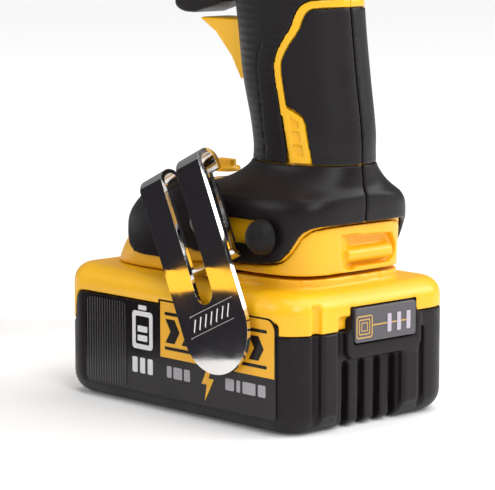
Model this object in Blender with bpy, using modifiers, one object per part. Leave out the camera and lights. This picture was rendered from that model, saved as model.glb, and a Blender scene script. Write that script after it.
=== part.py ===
"""Cordless brad nailer standing on its slide battery.

Lengths are in millimetres and MM turns them into the scene's metres. The nose points
along -X, the rear is +X, up is +Z and the tool's left side is -Y. The origin is the
centre of the battery's underside.
"""
import math

import bmesh
import bpy
from mathutils import Matrix, Vector

MM = 0.001
GAP = 0.3
WALL = 2.4
SKIN_GAP = 0.3
SKIN = 1.8

# Battery pack
PACK_X = 118.0
PACK_Y = 78.0
PACK_CORNER = 12.0
PACK_WALL = 2.5
CELL_MARGIN = 7.0
SPLIT_Z = 37.0
SHOULDER_Z = 46.4
PLATEAU_Z = 49.6
PLATEAU_FRONT = 18.3
RAIL_TOP = PLATEAU_Z - 0.4
WELL_LOW = 44.0
RAIL_Y = 14.5
RAIL_W = 5.0
CELL_TOP = 40.0
GAUGE_Y = 4.1
GAUGE_W = 29.6
GAUGE_Z = 34.5
GAUGE_H = 12.0
GAUGE_T = 1.3

# Release button in the rear of the foot
BUTTON_TRAVEL = 1.0
BUTTON_LOW = PLATEAU_Z + BUTTON_TRAVEL + GAP
BUTTON_SPRING_X = 33.0
BUTTON_SPRING_R = 3.0
# The line where the foot's cover meets the button, as x, z
RIM_START = 53.0
RIM_LINE = [
    (24.0, 53.3), (33.0, 53.9), (38.6, 54.6), (41.2, 55.6), (43.8, 58.2), (45.6, 60.9),
    (47.2, 63.8), (48.6, 65.4), (50.0, 66.4), (52.0, 67.2), (60.0, 67.6),
]

# Foot and handle: height, front x, rear x, half width, squareness of the section
FOOT_Z = SHOULDER_Z + GAP
FOOT_HALF = 28.0
GRIP_SECTIONS = [
    (FOOT_Z, -50.0, 50.5, 28.0, 5.0),
    (51.0, -48.0, 51.0, 28.0, 5.0),
    (58.0, -43.8, 51.6, 27.4, 5.0),
    (65.7, -40.3, 52.3, 28.0, 4.6),
    (72.5, -33.5, 53.0, 27.8, 4.2),
    (75.5, -26.0, 53.0, 26.4, 3.8),
    (76.8, -12.0, 52.9, 25.0, 3.3),
    (79.6, -0.7, 51.7, 22.2, 2.6),
    (83.0, 5.5, 51.3, 18.5, 2.3),
    (86.8, 8.5, 50.9, 16.2, 2.1),
    (97.0, 8.2, 50.6, 16.2, 2.1),
    (115.0, 3.6, 48.0, 16.5, 2.1),
    (133.8, 0.8, 45.6, 16.5, 2.1),
    (160.0, -3.5, 43.0, 17.0, 2.2),
    (180.0, -9.5, 43.0, 18.0, 2.4),
    (195.0, -16.0, 44.0, 20.0, 2.6),
    (206.0, -16.0, 44.0, 20.0, 2.6),
]
COLLAR_Z = 87.0
GRIP_TOP = 176.0

# Head: x, centre height, half height, half width, squareness of the section
HEAD_SECTIONS = [
    (-150.0, 226.0, 18.0, 17.5, 4.0),
    (-135.0, 226.0, 20.5, 19.5, 4.0),
    (-105.0, 226.0, 30.0, 24.5, 4.0),
    (-80.0, 226.5, 38.0, 29.0, 4.5),
    (-40.0, 227.5, 42.5, 31.0, 5.5),
    (20.0, 228.5, 43.5, 31.5, 5.5),
    (48.0, 229.0, 43.0, 31.0, 5.5),
    (62.0, 229.0, 40.0, 29.0, 4.5),
    (69.0, 229.0, 34.0, 24.0, 3.2),
    (71.0, 229.0, 26.0, 18.0, 3.0),
]
CAP_X = 48.0
HEAD_FRONT = -150.0

# Raised stripe and side panel that show between the grips, as x, z
STRIPE = [
    (70.0, 140.2), (42.0, 140.2), (38.6, 138.8), (37.0, 135.6), (36.0, 131.5),
    (32.8, 127.0), (29.8, 121.2), (30.2, 116.3), (32.0, 108.1), (33.0, 103.0),
]
STRIPE_HALF = 1.4
SIDE_PANEL = [(32.0, 105.5), (38.8, 102.6), (40.6, 100.5), (43.0, 87.4), (35.4, 87.4)]

# Trigger
TRIGGER_FRONT = -33.0
TRIGGER_LOW = 134.7
TRIGGER_HIGH = 178.0
TRIGGER_Y = 8.0
BRACKET_Y = 7.0
BRACKET_LOW = 113.0
BRACKET_TOP = TRIGGER_LOW - 1.3
SWITCH_X = 7.0

# Drive line
DRIVE_Z = 226.0
FRAME_FRONT = -90.0
FRAME_REAR = 44.0
FRAME_BAR = 8.0
FRAME_OUT = 16.0
FRAME_IN = 13.0
WHEEL_X = -20.0
WHEEL_R = 17.0
WHEEL_HALF = 3.4
CARRIAGE_LOW = DRIVE_Z - 3.0
CARRIAGE_TOP = DRIVE_Z + 3.0
WHEEL_Z = CARRIAGE_LOW - 0.4 - WHEEL_R
SHAFT_R = 3.0
BEARING_R = 8.0
CAN_R = 14.0
CAN_LEN = 7.2
CAN_Y = -FRAME_OUT - 1.0 - CAN_LEN
CARRIAGE_REAR = FRAME_REAR - FRAME_BAR - 1.0
CARRIAGE_LEN = 35.0
CARRIAGE_FRONT = CARRIAGE_REAR - CARRIAGE_LEN
STROKE = 72.0
BLADE_HALF_Y = 1.3
BLADE_HALF_Z = 0.8
ROD_Y = 8.2
ROD_Z = DRIVE_Z + 2.6
ROD_R = 2.4
ROD_SPRING_R = 3.6
ROLLER_R = 7.0
ROLLER_LIFT = 2.2
ROLLER_Z = CARRIAGE_TOP + ROLLER_LIFT + ROLLER_R
ARM_X = 14.0
ARM_Z = 245.0
ARM_EAR = 11.0
SOLENOID_X = 27.0
SOLENOID_Z = ARM_Z + ARM_EAR

# Nose and magazine
NAIL_LEN = 50.0
NAIL_T = 1.2
NOSE_FRONT = -236.0
NOSE_WALL = 7.0
NOSE_Y = 9.0
NOSE_LOW = 212.0
NOSE_TOP = 240.0
NAIL_X0 = NOSE_FRONT + NOSE_WALL + 10.0
NAIL_X1 = NAIL_X0 + NAIL_LEN
BLADE_FRONT = NAIL_X1 + 3.0
NOSE_SOLID = NAIL_X1 + 8.0
CHANNEL_HALF = 1.0
MAG_X0 = NAIL_X0 - 4.0
MAG_X1 = NAIL_X1 + 4.0
END_CAP_H = 10.0
MAG_LOW = END_CAP_H + GAP
MAG_TOP = NOSE_LOW - GAP
MAG_Y = 6.5
COVER_T = 3.6
MAG_RIB = 5.0
STRIP_TOP = DRIVE_Z - BLADE_HALF_Z - 0.4
STRIP_LOW = 152.0
PUSHER_H = 12.0
DOOR_T = 3.6
HINGE_X = NOSE_SOLID + 0.5
HINGE_Z = NOSE_TOP + 4.0
HINGE_R = 1.5
TRIP_TRAVEL = 8.0
TRIP_Y = NOSE_Y + 0.6
TRIP_T = 1.6
DEPTH_Z = 202.0
DEPTH_X = -157.0
DEPTH_R = 8.0
LIGHT_Y = -14.9
LIGHT_R = 1.9

# Belt hook, drawn upright and then leaned about the centre of its round tip
HOOK_X = 25.9
HOOK_Z = 34.0
HOOK_LEAN = math.radians(25.0)
HOOK_W = 32.4
HOOK_T = 1.5
HOOK_DEPTH = 9.0
HOOK_OUT_Y = -42.5
HOOK_CREST = 57.0
HOOK_SLOT = 8.4
HOOK_BACK_LOW = 21.5
HOOK_SCREW_S = 36.0
KNOB_X = 37.0
KNOB_Z = 64.0
KNOB_R = 6.0
KNOB_TIP_Y = -36.5

parts = None
cutters = None
MATERIALS = {
    "yellow": ((0.90, 0.52, 0.02), 0.38, 0.0),
    "black": ((0.035, 0.034, 0.038), 0.55, 0.0),
    "rubber": ((0.045, 0.043, 0.047), 0.8, 0.0),
    "steel": ((0.60, 0.61, 0.63), 0.3, 1.0),
    "chrome": ((0.85, 0.85, 0.87), 0.12, 1.0),
    "cast": ((0.30, 0.31, 0.33), 0.45, 0.9),
    "copper": ((0.72, 0.36, 0.18), 0.35, 0.9),
    "board": ((0.05, 0.22, 0.10), 0.5, 0.0),
    "grey": ((0.20, 0.20, 0.22), 0.45, 0.0),
    "lens": ((0.90, 0.93, 0.95), 0.1, 0.0),
    "cell": ((0.16, 0.30, 0.50), 0.4, 0.0),
}


def clear_scene():
    for obj in list(bpy.data.objects):
        bpy.data.objects.remove(obj, do_unlink=True)


def new_collection(name):
    made = bpy.data.collections.new(name)
    bpy.context.scene.collection.children.link(made)
    return made


def paint(obj, finish):
    colour, roughness, metallic = MATERIALS[finish]
    mat = bpy.data.materials.new(obj.name + "_" + finish)
    mat.use_nodes = True
    shader = mat.node_tree.nodes["Principled BSDF"]
    shader.inputs["Base Color"].default_value = (*colour, 1.0)
    shader.inputs["Roughness"].default_value = roughness
    shader.inputs["Metallic"].default_value = metallic
    mat.diffuse_color = (*colour, 1.0)
    obj.data.materials.clear()
    obj.data.materials.append(mat)


def place(mesh, name, finish):
    """Link a new object: a part when it has a finish, a cutter when it has none."""
    obj = bpy.data.objects.new(name, mesh)
    if finish:
        parts.objects.link(obj)
        paint(obj, finish)
    else:
        cutters.objects.link(obj)
        obj.hide_render = True
        obj.display_type = "WIRE"
    return obj


def round_edges(obj, width, segments=2):
    bevel = obj.modifiers.new("round edges", "BEVEL")
    bevel.width = width * MM
    bevel.segments = segments
    bevel.limit_method = "ANGLE"
    bevel.angle_limit = math.radians(40)


def box(name, low, high, finish=None, bevel=0.0):
    """A block between two corners."""
    bm = bmesh.new()
    bmesh.ops.create_cube(bm, size=1.0)
    size = [(b - a) * MM for a, b in zip(low, high)]
    bmesh.ops.scale(bm, vec=size, verts=bm.verts)
    mesh = bpy.data.meshes.new(name)
    bm.to_mesh(mesh)
    bm.free()
    obj = place(mesh, name, finish)
    obj.location = [(a + b) / 2 * MM for a, b in zip(low, high)]
    if bevel:
        round_edges(obj, bevel)
    return obj


def rod(name, start, end, radius, finish=None, sides=24):
    """A cylinder between two points."""
    start = Vector(start) * MM
    end = Vector(end) * MM
    bm = bmesh.new()
    bmesh.ops.create_cone(
        bm, cap_ends=True, segments=sides, radius1=radius * MM, radius2=radius * MM,
        depth=(end - start).length,
    )
    mesh = bpy.data.meshes.new(name)
    bm.to_mesh(mesh)
    bm.free()
    for face in mesh.polygons:
        face.use_smooth = len(face.vertices) == 4
    obj = place(mesh, name, finish)
    obj.rotation_mode = "QUATERNION"
    obj.rotation_quaternion = Vector((0, 0, 1)).rotation_difference(end - start)
    obj.location = (start + end) / 2
    return obj


def turned(name, profile, centre, finish, axis="Y", steps=32):
    """A profile of (radius, height) points, top to bottom, turned about an axis through centre."""
    mesh = bpy.data.meshes.new(name)
    points = [(r * MM, 0, h * MM) for r, h in profile]
    count = len(points)
    open_ends = profile[0][0] == 0 and profile[-1][0] == 0
    edges = [(i, i + 1) for i in range(count - 1)]
    if not open_ends:
        edges.append((count - 1, 0))
    mesh.from_pydata(points, edges, [])
    obj = place(mesh, name, finish)
    turn = obj.modifiers.new("turn", "SCREW")
    turn.steps = steps
    turn.render_steps = steps
    turn.use_merge_vertices = True
    turn.merge_threshold = 0.00001
    turn.use_smooth_shade = True
    obj.rotation_euler = {
        "X": (0, math.pi / 2, 0), "Y": (-math.pi / 2, 0, 0), "Z": (0, 0, 0),
    }[axis]
    obj.location = Vector(centre) * MM
    return obj


def curve_mesh(curve, name, finish, matrix=None):
    """Turn a curve into a welded mesh object and drop the curve."""
    source = bpy.data.objects.new(name + "_curve", curve)
    cutters.objects.link(source)
    bpy.context.view_layer.update()
    graph = bpy.context.evaluated_depsgraph_get()
    mesh = bpy.data.meshes.new_from_object(source.evaluated_get(graph))
    bpy.data.objects.remove(source)
    bm = bmesh.new()
    bm.from_mesh(mesh)
    bmesh.ops.remove_doubles(bm, verts=bm.verts, dist=0.000001)
    bmesh.ops.recalc_face_normals(bm, faces=bm.faces)
    bm.to_mesh(mesh)
    bm.free()
    obj = place(mesh, name, finish)
    if matrix:
        obj.matrix_world = matrix
    return obj


PLANES = {
    "XZ": Matrix(((1, 0, 0, 0), (0, 0, -1, 0), (0, 1, 0, 0), (0, 0, 0, 1))),
    "YZ": Matrix(((0, 0, 1, 0), (1, 0, 0, 0), (0, 1, 0, 0), (0, 0, 0, 1))),
    "XY": Matrix.Identity(4),
}


def prism(name, outline, low, high, plane="XZ", finish=None, bevel=0.0):
    """An outline in a plane, extruded across it from low to high."""
    curve = bpy.data.curves.new(name, "CURVE")
    curve.dimensions = "2D"
    curve.fill_mode = "BOTH"
    curve.extrude = (high - low) / 2 * MM
    spline = curve.splines.new("POLY")
    spline.points.add(len(outline) - 1)
    for point, (u, v) in zip(spline.points, outline):
        point.co = (u * MM, v * MM, 0, 1)
    spline.use_cyclic_u = True
    middle = (low + high) / 2 * MM
    shift = {"XZ": (0, middle, 0), "YZ": (middle, 0, 0), "XY": (0, 0, middle)}[plane]
    obj = curve_mesh(curve, name, finish, Matrix.Translation(shift) @ PLANES[plane])
    if bevel:
        round_edges(obj, bevel)
    return obj


def coil(name, start, end, radius, wire, turns, finish="steel"):
    """A compression spring between two points, its wire ends inside the stated length."""
    start = Vector(start) * MM
    end = Vector(end) * MM
    length = (end - start).length - 2 * wire * MM
    curve = bpy.data.curves.new(name, "CURVE")
    curve.dimensions = "3D"
    curve.bevel_depth = wire / 2 * MM
    curve.bevel_resolution = 1
    curve.use_fill_caps = True
    spline = curve.splines.new("POLY")
    count = turns * 10
    spline.points.add(count)
    for i, point in enumerate(spline.points):
        angle = 2 * math.pi * i / 10
        height = length * (i / count - 0.5)
        point.co = (radius * MM * math.cos(angle), radius * MM * math.sin(angle), height, 1)
    turn = Vector((0, 0, 1)).rotation_difference(end - start).to_matrix().to_4x4()
    return curve_mesh(curve, name, finish, Matrix.Translation((start + end) / 2) @ turn)


def loft(name, rings, finish=None):
    """A closed body through rings of equally many points."""
    bm = bmesh.new()
    rows = [[bm.verts.new(Vector(p) * MM) for p in ring] for ring in rings]
    count = len(rows[0])
    for low, high in zip(rows, rows[1:]):
        for i in range(count):
            j = (i + 1) % count
            bm.faces.new((low[i], low[j], high[j], high[i]))
    bm.faces.new(rows[0][::-1])
    bm.faces.new(rows[-1])
    bmesh.ops.recalc_face_normals(bm, faces=bm.faces)
    mesh = bpy.data.meshes.new(name)
    bm.to_mesh(mesh)
    bm.free()
    for face in mesh.polygons:
        face.use_smooth = len(face.vertices) == 4
    return place(mesh, name, finish)


def oval(half_u, half_v, squareness, count=36):
    """Points of a superellipse, spread evenly by angle."""
    points = []
    for i in range(count):
        angle = 2 * math.pi * (i + 0.5) / count
        c = math.cos(angle)
        s = math.sin(angle)
        points.append((
            half_u * math.copysign(abs(c) ** (2 / squareness), c),
            half_v * math.copysign(abs(s) ** (2 / squareness), s),
        ))
    return points


def rounded_rectangle(length, width, corner, steps=5):
    """Points round a rectangle whose four corners are arcs."""
    points = []
    for cx, cy, first in ((1, 1, 0), (-1, 1, 90), (-1, -1, 180), (1, -1, 270)):
        for i in range(steps + 1):
            angle = math.radians(first + 90 * i / steps)
            points.append((
                cx * (length / 2 - corner) + corner * math.cos(angle),
                cy * (width / 2 - corner) + corner * math.sin(angle),
            ))
    return points


def boolean(obj, other, operation="DIFFERENCE"):
    step = obj.modifiers.new(operation.lower() + " " + other.name, "BOOLEAN")
    step.object = other
    step.operation = operation
    step.solver = "EXACT"
    return obj


def pivot(obj, point):
    """Move the object's origin to a point on its joint's axis."""
    point = Vector(point) * MM
    local = obj.matrix_basis.inverted() @ point
    obj.data.transform(Matrix.Translation(-local))
    obj.location = point
    return obj


def grip_form(name, offset, low=None, finish=None):
    """The foot and handle, grown by offset, from an optional lower height."""
    rings = []
    for z, front, rear, half, squareness in GRIP_SECTIONS:
        centre = (front + rear) / 2
        ring = oval((rear - front) / 2 + offset, half + offset, squareness)
        rings.append([(centre + x, y, z) for x, y in ring])
    if low is not None:
        rings.insert(0, [(x, y, low) for x, y, _ in rings[0]])
    return loft(name, rings, finish)


def head_form(name, offset, first=0, last=None, finish=None):
    """The head between two of its sections, grown by offset, its ends moved by the same."""
    sections = HEAD_SECTIONS[first:last]
    rings = []
    for i, (x, z, half_z, half_y, squareness) in enumerate(sections):
        if i == 0:
            x -= offset
        if i == len(sections) - 1:
            x += offset
        ring = oval(half_y + offset, half_z + offset, squareness)
        rings.append([(x, y, z + height) for y, height in ring])
    return loft(name, rings, finish)


def widen(line, half):
    """A closed band of a given half width about a polyline."""
    left = []
    right = []
    for i, (x, z) in enumerate(line):
        before = Vector(line[max(i - 1, 0)])
        after = Vector(line[min(i + 1, len(line) - 1)])
        along = (after - before).normalized()
        left.append((x - along.y * half, z + along.x * half))
        right.append((x + along.y * half, z - along.x * half))
    return left + right[::-1]


def bay_outline(clear):
    """The space under the foot's rear that the button and the battery's plateau fill."""
    front = PLATEAU_FRONT - clear
    return (
        [(front, 40.0), (front, RIM_START + clear)]
        + [(x, z + clear) for x, z in RIM_LINE]
        + [(60.0, 40.0)]
    )


def leaned(x, s):
    """A point of the hook's own drawing, across by x and up by s, in world x and z."""
    return (
        HOOK_X + x * math.cos(HOOK_LEAN) - s * math.sin(HOOK_LEAN),
        HOOK_Z + x * math.sin(HOOK_LEAN) + s * math.cos(HOOK_LEAN),
    )


def hook_screw_hole(name):
    x, z = leaned(0, HOOK_SCREW_S)
    return rod(name, (x, -45, z), (x, -18, z), 2.0 + GAP)


def build_housing():
    """Two shells that clamp everything, split on the middle plane."""
    far = 60.0
    bay = prism("cut_bay", bay_outline(GAP), -far, far)
    nose_hole = box("cut_nose", (-160, -12.8, 213), (-140, 12.8, 241))
    trigger_hole = box(
        "cut_trigger", (-40, -TRIGGER_Y - 0.6, BRACKET_TOP), (4, TRIGGER_Y + 0.6, TRIGGER_HIGH + 1),
    )
    screw_hole = rod("cut_depth_screw", (-170, 0, DEPTH_Z), (-130, 0, DEPTH_Z), 2.3)
    inside = grip_form("cut_grip_inside", -WALL, low=30.0)
    head_inside = head_form("cut_head_inside", -WALL, last=8)
    hook_hole = hook_screw_hole("cut_housing_hook_screw")
    band = prism("band_stripe", widen(STRIPE, STRIPE_HALF), -far, far)
    raised = grip_form("band_raised", SKIN - 0.2)
    boolean(band, raised, "INTERSECT")
    panel = prism("band_panel", SIDE_PANEL, -far, far)
    boolean(panel, raised, "INTERSECT")
    bracket = prism(
        "band_bracket",
        [(8, BRACKET_LOW), (1, BRACKET_LOW), (-4, 121), (-12, 129), (-20, BRACKET_TOP - 1),
         (-20, BRACKET_TOP), (8, BRACKET_TOP)],
        -BRACKET_Y, BRACKET_Y,
    )
    lug = box("band_screw_lug", (-150, -6, DEPTH_Z - 5), (-132, 6, 214))
    for side, name in ((-1, "housing_left"), (1, "housing_right")):
        shell = head_form(name, 0.0, last=7, finish="yellow")
        boolean(shell, grip_form("join_grip_" + name, 0.0), "UNION")
        for extra in (band, panel, bracket, lug):
            boolean(shell, extra, "UNION")
        for cut in (inside, head_inside, bay, nose_hole, trigger_hole, screw_hole, hook_hole):
            boolean(shell, cut)
        low, high = sorted((side * GAP / 2, side * far))
        half = box("keep_" + name, (-170, low, 20), (90, high, 290))
        boolean(shell, half, "INTERSECT")
    cap = head_form("head_cap", 0.0, first=6, finish="black")
    for vert in cap.data.vertices:
        if vert.co.x < (CAP_X + 0.01) * MM:
            vert.co.x = (CAP_X + GAP) * MM
    pocket = head_form("cut_cap_inside", -WALL, first=6)
    for vert in pocket.data.vertices:
        if vert.co.x < (CAP_X + 3) * MM:
            vert.co.x = (CAP_X - 6) * MM
    boolean(cap, pocket)


def build_grips():
    """Rubber skins over the housing: foot, finger side and the two palm sides."""
    far = 60.0
    inner = grip_form("cut_skin_inside", SKIN_GAP, low=30.0)
    bay = prism("cut_skin_bay", bay_outline(GAP), -far, far)
    clear = prism("cut_skin_stripe", widen(STRIPE, STRIPE_HALF + GAP), -far, far)
    grown = [(30.6, 107.5), (39.2, 103.2), (41.2, 100.7), (43.5, 86.0), (34.8, 86.0)]
    panel = prism("cut_skin_panel", grown, -far, far)
    bracket = box(
        "cut_skin_bracket", (-30, -BRACKET_Y - GAP, BRACKET_LOW - GAP), (8, BRACKET_Y + GAP, 190),
    )
    hook_hole = hook_screw_hole("cut_skin_hook_screw")
    trigger_space = box(
        "cut_skin_trigger", (-40, -TRIGGER_Y - 0.6, BRACKET_TOP), (8, TRIGGER_Y + 0.6, 190),
    )
    foot_edge = [
        (-46.0, 66.4), (-40.0, 66.4), (-36.8, 58.0), (-33.0, 53.0), (-28.0, 51.4),
        (10.0, 51.4), (60.0, 51.4), (60.0, COLLAR_Z - GAP), (-46.0, COLLAR_Z - GAP),
    ]
    rear_side = STRIPE[:-1] + [
        (36.5, 105.4), (41.0, 101.0), (43.2, COLLAR_Z), (70.0, COLLAR_Z),
    ]
    rear_side[0] = (70.0, STRIPE[0][1])
    front_side = (
        [(-60.0, COLLAR_Z), (34.0, COLLAR_Z)] + STRIPE[::-1]
        + [(70.0, GRIP_TOP), (-60.0, GRIP_TOP)]
    )
    pieces = (
        ("foot_cover_left", foot_edge, -1), ("foot_cover_right", foot_edge, 1),
        ("grip_left", rear_side, -1), ("grip_right", rear_side, 1),
        ("grip_front", front_side, 0),
    )
    for name, outline, side in pieces:
        low = -far if side <= 0 else GAP / 2
        high = far if side >= 0 else -GAP / 2
        skin = grip_form(name, SKIN, finish="rubber")
        boolean(skin, inner)
        boolean(skin, prism("keep_" + name, outline, low, high), "INTERSECT")
        boolean(skin, bay)
        if name == "foot_cover_left":
            boolean(skin, hook_hole)
        if name.startswith("grip"):
            boolean(skin, clear)
            boolean(skin, panel)
        if name == "grip_front":
            boolean(skin, bracket)
            boolean(skin, trigger_space)


def build_battery():
    plan = [
        (0.0, 6.0), (1.2, 3.0), (4.0, 0.8), (9.0, 0.0), (SPLIT_Z, 0.0),
        (SPLIT_Z, PACK_WALL), (PACK_WALL, PACK_WALL + 1.0),
    ]
    rings = []
    for z, inset in plan:
        ring = rounded_rectangle(
            PACK_X - 2 * inset, PACK_Y - 2 * inset, max(PACK_CORNER - inset * 0.8, 5.0),
        )
        rings.append([(x, y, z) for x, y in ring])
    loft("battery_lower_case", rings, "black")
    top = [
        (SPLIT_Z + GAP, 0.0), (42.0, 0.8), (44.6, 2.4), (46.0, 4.6), (SHOULDER_Z, 7.5),
    ]
    rings = []
    for z, inset in top:
        ring = rounded_rectangle(
            PACK_X - 2 * inset, PACK_Y - 2 * inset, max(PACK_CORNER - inset * 0.5, 6.0),
        )
        rings.append([(x, y, z) for x, y in ring])
    upper = loft("battery_upper_case", rings, "yellow")
    inner = rounded_rectangle(PACK_X - 2 * PACK_WALL, PACK_Y - 2 * PACK_WALL, 9.0)
    boolean(upper, prism("cut_pack_inside", inner, 30.0, CELL_TOP + 1.5, "XY"))
    plateau = grip_form("join_plateau", 0.0)
    keep = box("keep_plateau", (PLATEAU_FRONT, -60, SHOULDER_Z - 0.6), (60, 60, PLATEAU_Z))
    base = prism(
        "join_plateau_base",
        [(x + PLATEAU_FRONT / 2 + 25.5, y) for x, y in rounded_rectangle(30, 50, 6)],
        SHOULDER_Z - 1.5, SHOULDER_Z + 2, "XY",
    )
    boolean(plateau, keep, "INTERSECT")
    boolean(upper, base, "UNION")
    boolean(upper, plateau, "UNION")
    for side in (-1, 1):
        middle = side * RAIL_Y
        rail = box(
            "join_rail_%d" % (side + 1), (-38, middle - RAIL_W / 2, SHOULDER_Z - 1),
            (PLATEAU_FRONT + 1, middle + RAIL_W / 2, RAIL_TOP),
        )
        boolean(upper, rail, "UNION")
    well = rod(
        "cut_button_well", (BUTTON_SPRING_X, 0, WELL_LOW),
        (BUTTON_SPRING_X, 0, PLATEAU_Z + 3), BUTTON_SPRING_R + 1.2,
    )
    boolean(upper, well)
    cell_x = PACK_X / 2 - CELL_MARGIN
    cell_y = PACK_Y / 2 - CELL_MARGIN
    box(
        "cell_block", (-cell_x, -cell_y, PACK_WALL + GAP), (cell_x, cell_y, CELL_TOP), "cell", 3,
    )
    button = grip_form("release_button", 0.0, finish="yellow")
    outline = [(PLATEAU_FRONT + GAP, BUTTON_LOW)] + bay_outline(-GAP)[1:-1] + [(60, BUTTON_LOW)]
    outline[1] = (PLATEAU_FRONT + GAP, RIM_START - GAP)
    boolean(button, prism("keep_button", outline, -60, 60), "INTERSECT")
    boolean(button, box("cut_thumb", (48.5, -1.8, 60.0), (56, 18.0, 63.2)))
    coil(
        "button_spring", (BUTTON_SPRING_X, 0, WELL_LOW + 0.4),
        (BUTTON_SPRING_X, 0, BUTTON_LOW - 0.1), BUTTON_SPRING_R, 0.8, 3,
    )
    rear = PACK_X / 2 + GAP
    box(
        "charge_gauge", (rear, GAUGE_Y - GAUGE_W / 2, GAUGE_Z - GAUGE_H / 2),
        (rear + GAUGE_T, GAUGE_Y + GAUGE_W / 2, GAUGE_Z + GAUGE_H / 2), "grey", bevel=0.4,
    )


def build_foot():
    box("terminal_block", (-34, -11, PLATEAU_Z + 0.6), (12, 11, 61.0), "black", bevel=0.6)
    box("control_board", (-29, -17, 62.0), (14, 17, 67.4), "board", bevel=0.4)
    top = 76.8 + SKIN + GAP
    turned(
        "mode_selector",
        [(0, 4.2), (2.2, 4.2), (3.0, 3.4), (3.4, 1.6), (4.6, 1.2), (5.0, 0.4), (5.0, 0), (0, 0)],
        (-14.0, 0, top + 0.6), "yellow", "Z", 24,
    )


def build_hook():
    """A chromed strip, bent over at its crest, with a slot and a round tip."""
    out = HOOK_OUT_Y
    back = HOOK_OUT_Y + HOOK_DEPTH
    centre = (out + back) / 2
    radius = HOOK_DEPTH / 2
    turn = HOOK_CREST - radius
    outer = []
    inner = []
    for i in range(13):
        angle = math.pi - math.pi * i / 12
        y = math.cos(angle)
        z = math.sin(angle)
        outer.append((centre + radius * y, turn + radius * z))
        inner.append((centre + (radius - HOOK_T) * y, turn + (radius - HOOK_T) * z))
    low = -HOOK_W / 2
    outline = (
        [(out + HOOK_T, low), (out, low)] + outer
        + [(back, HOOK_BACK_LOW), (back - HOOK_T, HOOK_BACK_LOW)] + inner[::-1]
    )
    hook = prism("belt_hook", outline, -HOOK_W / 2, HOOK_W / 2, "YZ", "chrome")
    tip = [(HOOK_W / 2 * math.cos(a), HOOK_W / 2 * math.sin(a))
           for a in (math.radians(180 + 15 * i) for i in range(13))]
    shape = tip + [(HOOK_W / 2, HOOK_CREST + 5), (-HOOK_W / 2, HOOK_CREST + 5)]
    keep = prism("keep_hook_tip", shape, -60, -20)
    slot_low = 12.0
    slot = [(HOOK_SLOT / 2 * math.cos(a), slot_low + HOOK_SLOT / 2 * math.sin(a))
            for a in (math.radians(180 + 30 * i) for i in range(7))]
    slot += [(HOOK_SLOT / 2, HOOK_CREST + 5), (-HOOK_SLOT / 2, HOOK_CREST + 5)]
    front_slot = prism("cut_hook_slot", slot, -60, centre)
    back_slot = box(
        "cut_hook_back_slot", (-HOOK_SLOT / 2, centre - 1, turn - 1), (HOOK_SLOT / 2, -20, 80),
    )
    sides = [
        box("cut_hook_side_%d" % i, (min(a, b), centre, 0), (max(a, b), -20, turn - 3))
        for i, (a, b) in enumerate(((-40, -11.5), (11.5, 40)))
    ]
    hole_y = (centre, -20)
    hole = rod(
        "cut_hook_hole", (0, hole_y[0], HOOK_SCREW_S), (0, hole_y[1], HOOK_SCREW_S), 2.6,
    )
    lean = Matrix.Translation((HOOK_X * MM, 0, HOOK_Z * MM)) @ Matrix.Rotation(-HOOK_LEAN, 4, "Y")
    boolean(hook, keep, "INTERSECT")
    for cut in (front_slot, back_slot, *sides, hole):
        boolean(hook, cut)
    for obj in (hook, keep, front_slot, back_slot, *sides, hole):
        bpy.context.view_layer.update()
        obj.matrix_world = lean @ obj.matrix_basis
    boss = box(
        "hook_boss", (-9, back + GAP, 24), (9, -FOOT_HALF - SKIN - 0.5, 48), "black", bevel=0.5,
    )
    boss_hole = rod("cut_boss_hole", (0, back, HOOK_SCREW_S), (0, -20, HOOK_SCREW_S), 2.3)
    boolean(boss, boss_hole)
    for obj in (boss, boss_hole):
        bpy.context.view_layer.update()
        obj.matrix_world = lean @ obj.matrix_basis
    x, z = leaned(0, HOOK_SCREW_S)
    head = back - HOOK_T - GAP
    turned(
        "hook_screw",
        [(0, 10.0), (2.0, 10.0), (2.0, 0), (4.2, 0), (4.2, -1.2), (3.4, -1.9), (0, -1.9)],
        (x, head, z), "steel", "Y", 20,
    ).rotation_euler = (-math.pi / 2, 0, 0)
    turned(
        "bumper_knob",
        [(0, 6.6), (KNOB_R, 6.6), (KNOB_R, 2.6), (KNOB_R * 0.93, 1.4), (KNOB_R * 0.75, 0.5),
         (KNOB_R * 0.4, 0.1), (0, 0)],
        (KNOB_X, KNOB_TIP_Y, KNOB_Z), "rubber", "Y", 28,
    )


def build_trigger():
    outline = [
        (TRIGGER_FRONT + 5, TRIGGER_LOW), (TRIGGER_FRONT + 10, TRIGGER_LOW), (-8, 139),
        (-8, TRIGGER_HIGH), (-22, TRIGGER_HIGH), (-27.5, 168), (-28.5, 155),
        (TRIGGER_FRONT + 1.5, 143), (TRIGGER_FRONT, 138.5), (TRIGGER_FRONT + 1.5, 135.8),
    ]
    trigger = prism(
        "trigger", outline, -TRIGGER_Y, TRIGGER_Y, "XZ", "black", bevel=1.6,
    )
    stem = box("join_trigger_stem", (-9, -4, 148), (-2.5, 4, 166))
    boolean(trigger, stem, "UNION")
    box("switch_module", (SWITCH_X, -10, 142), (28, 10, 172), "black", bevel=0.8)
    coil("trigger_spring", (-2.3, 0, 157), (SWITCH_X - 0.2, 0, 157), 3.0, 0.8, 4)


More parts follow.
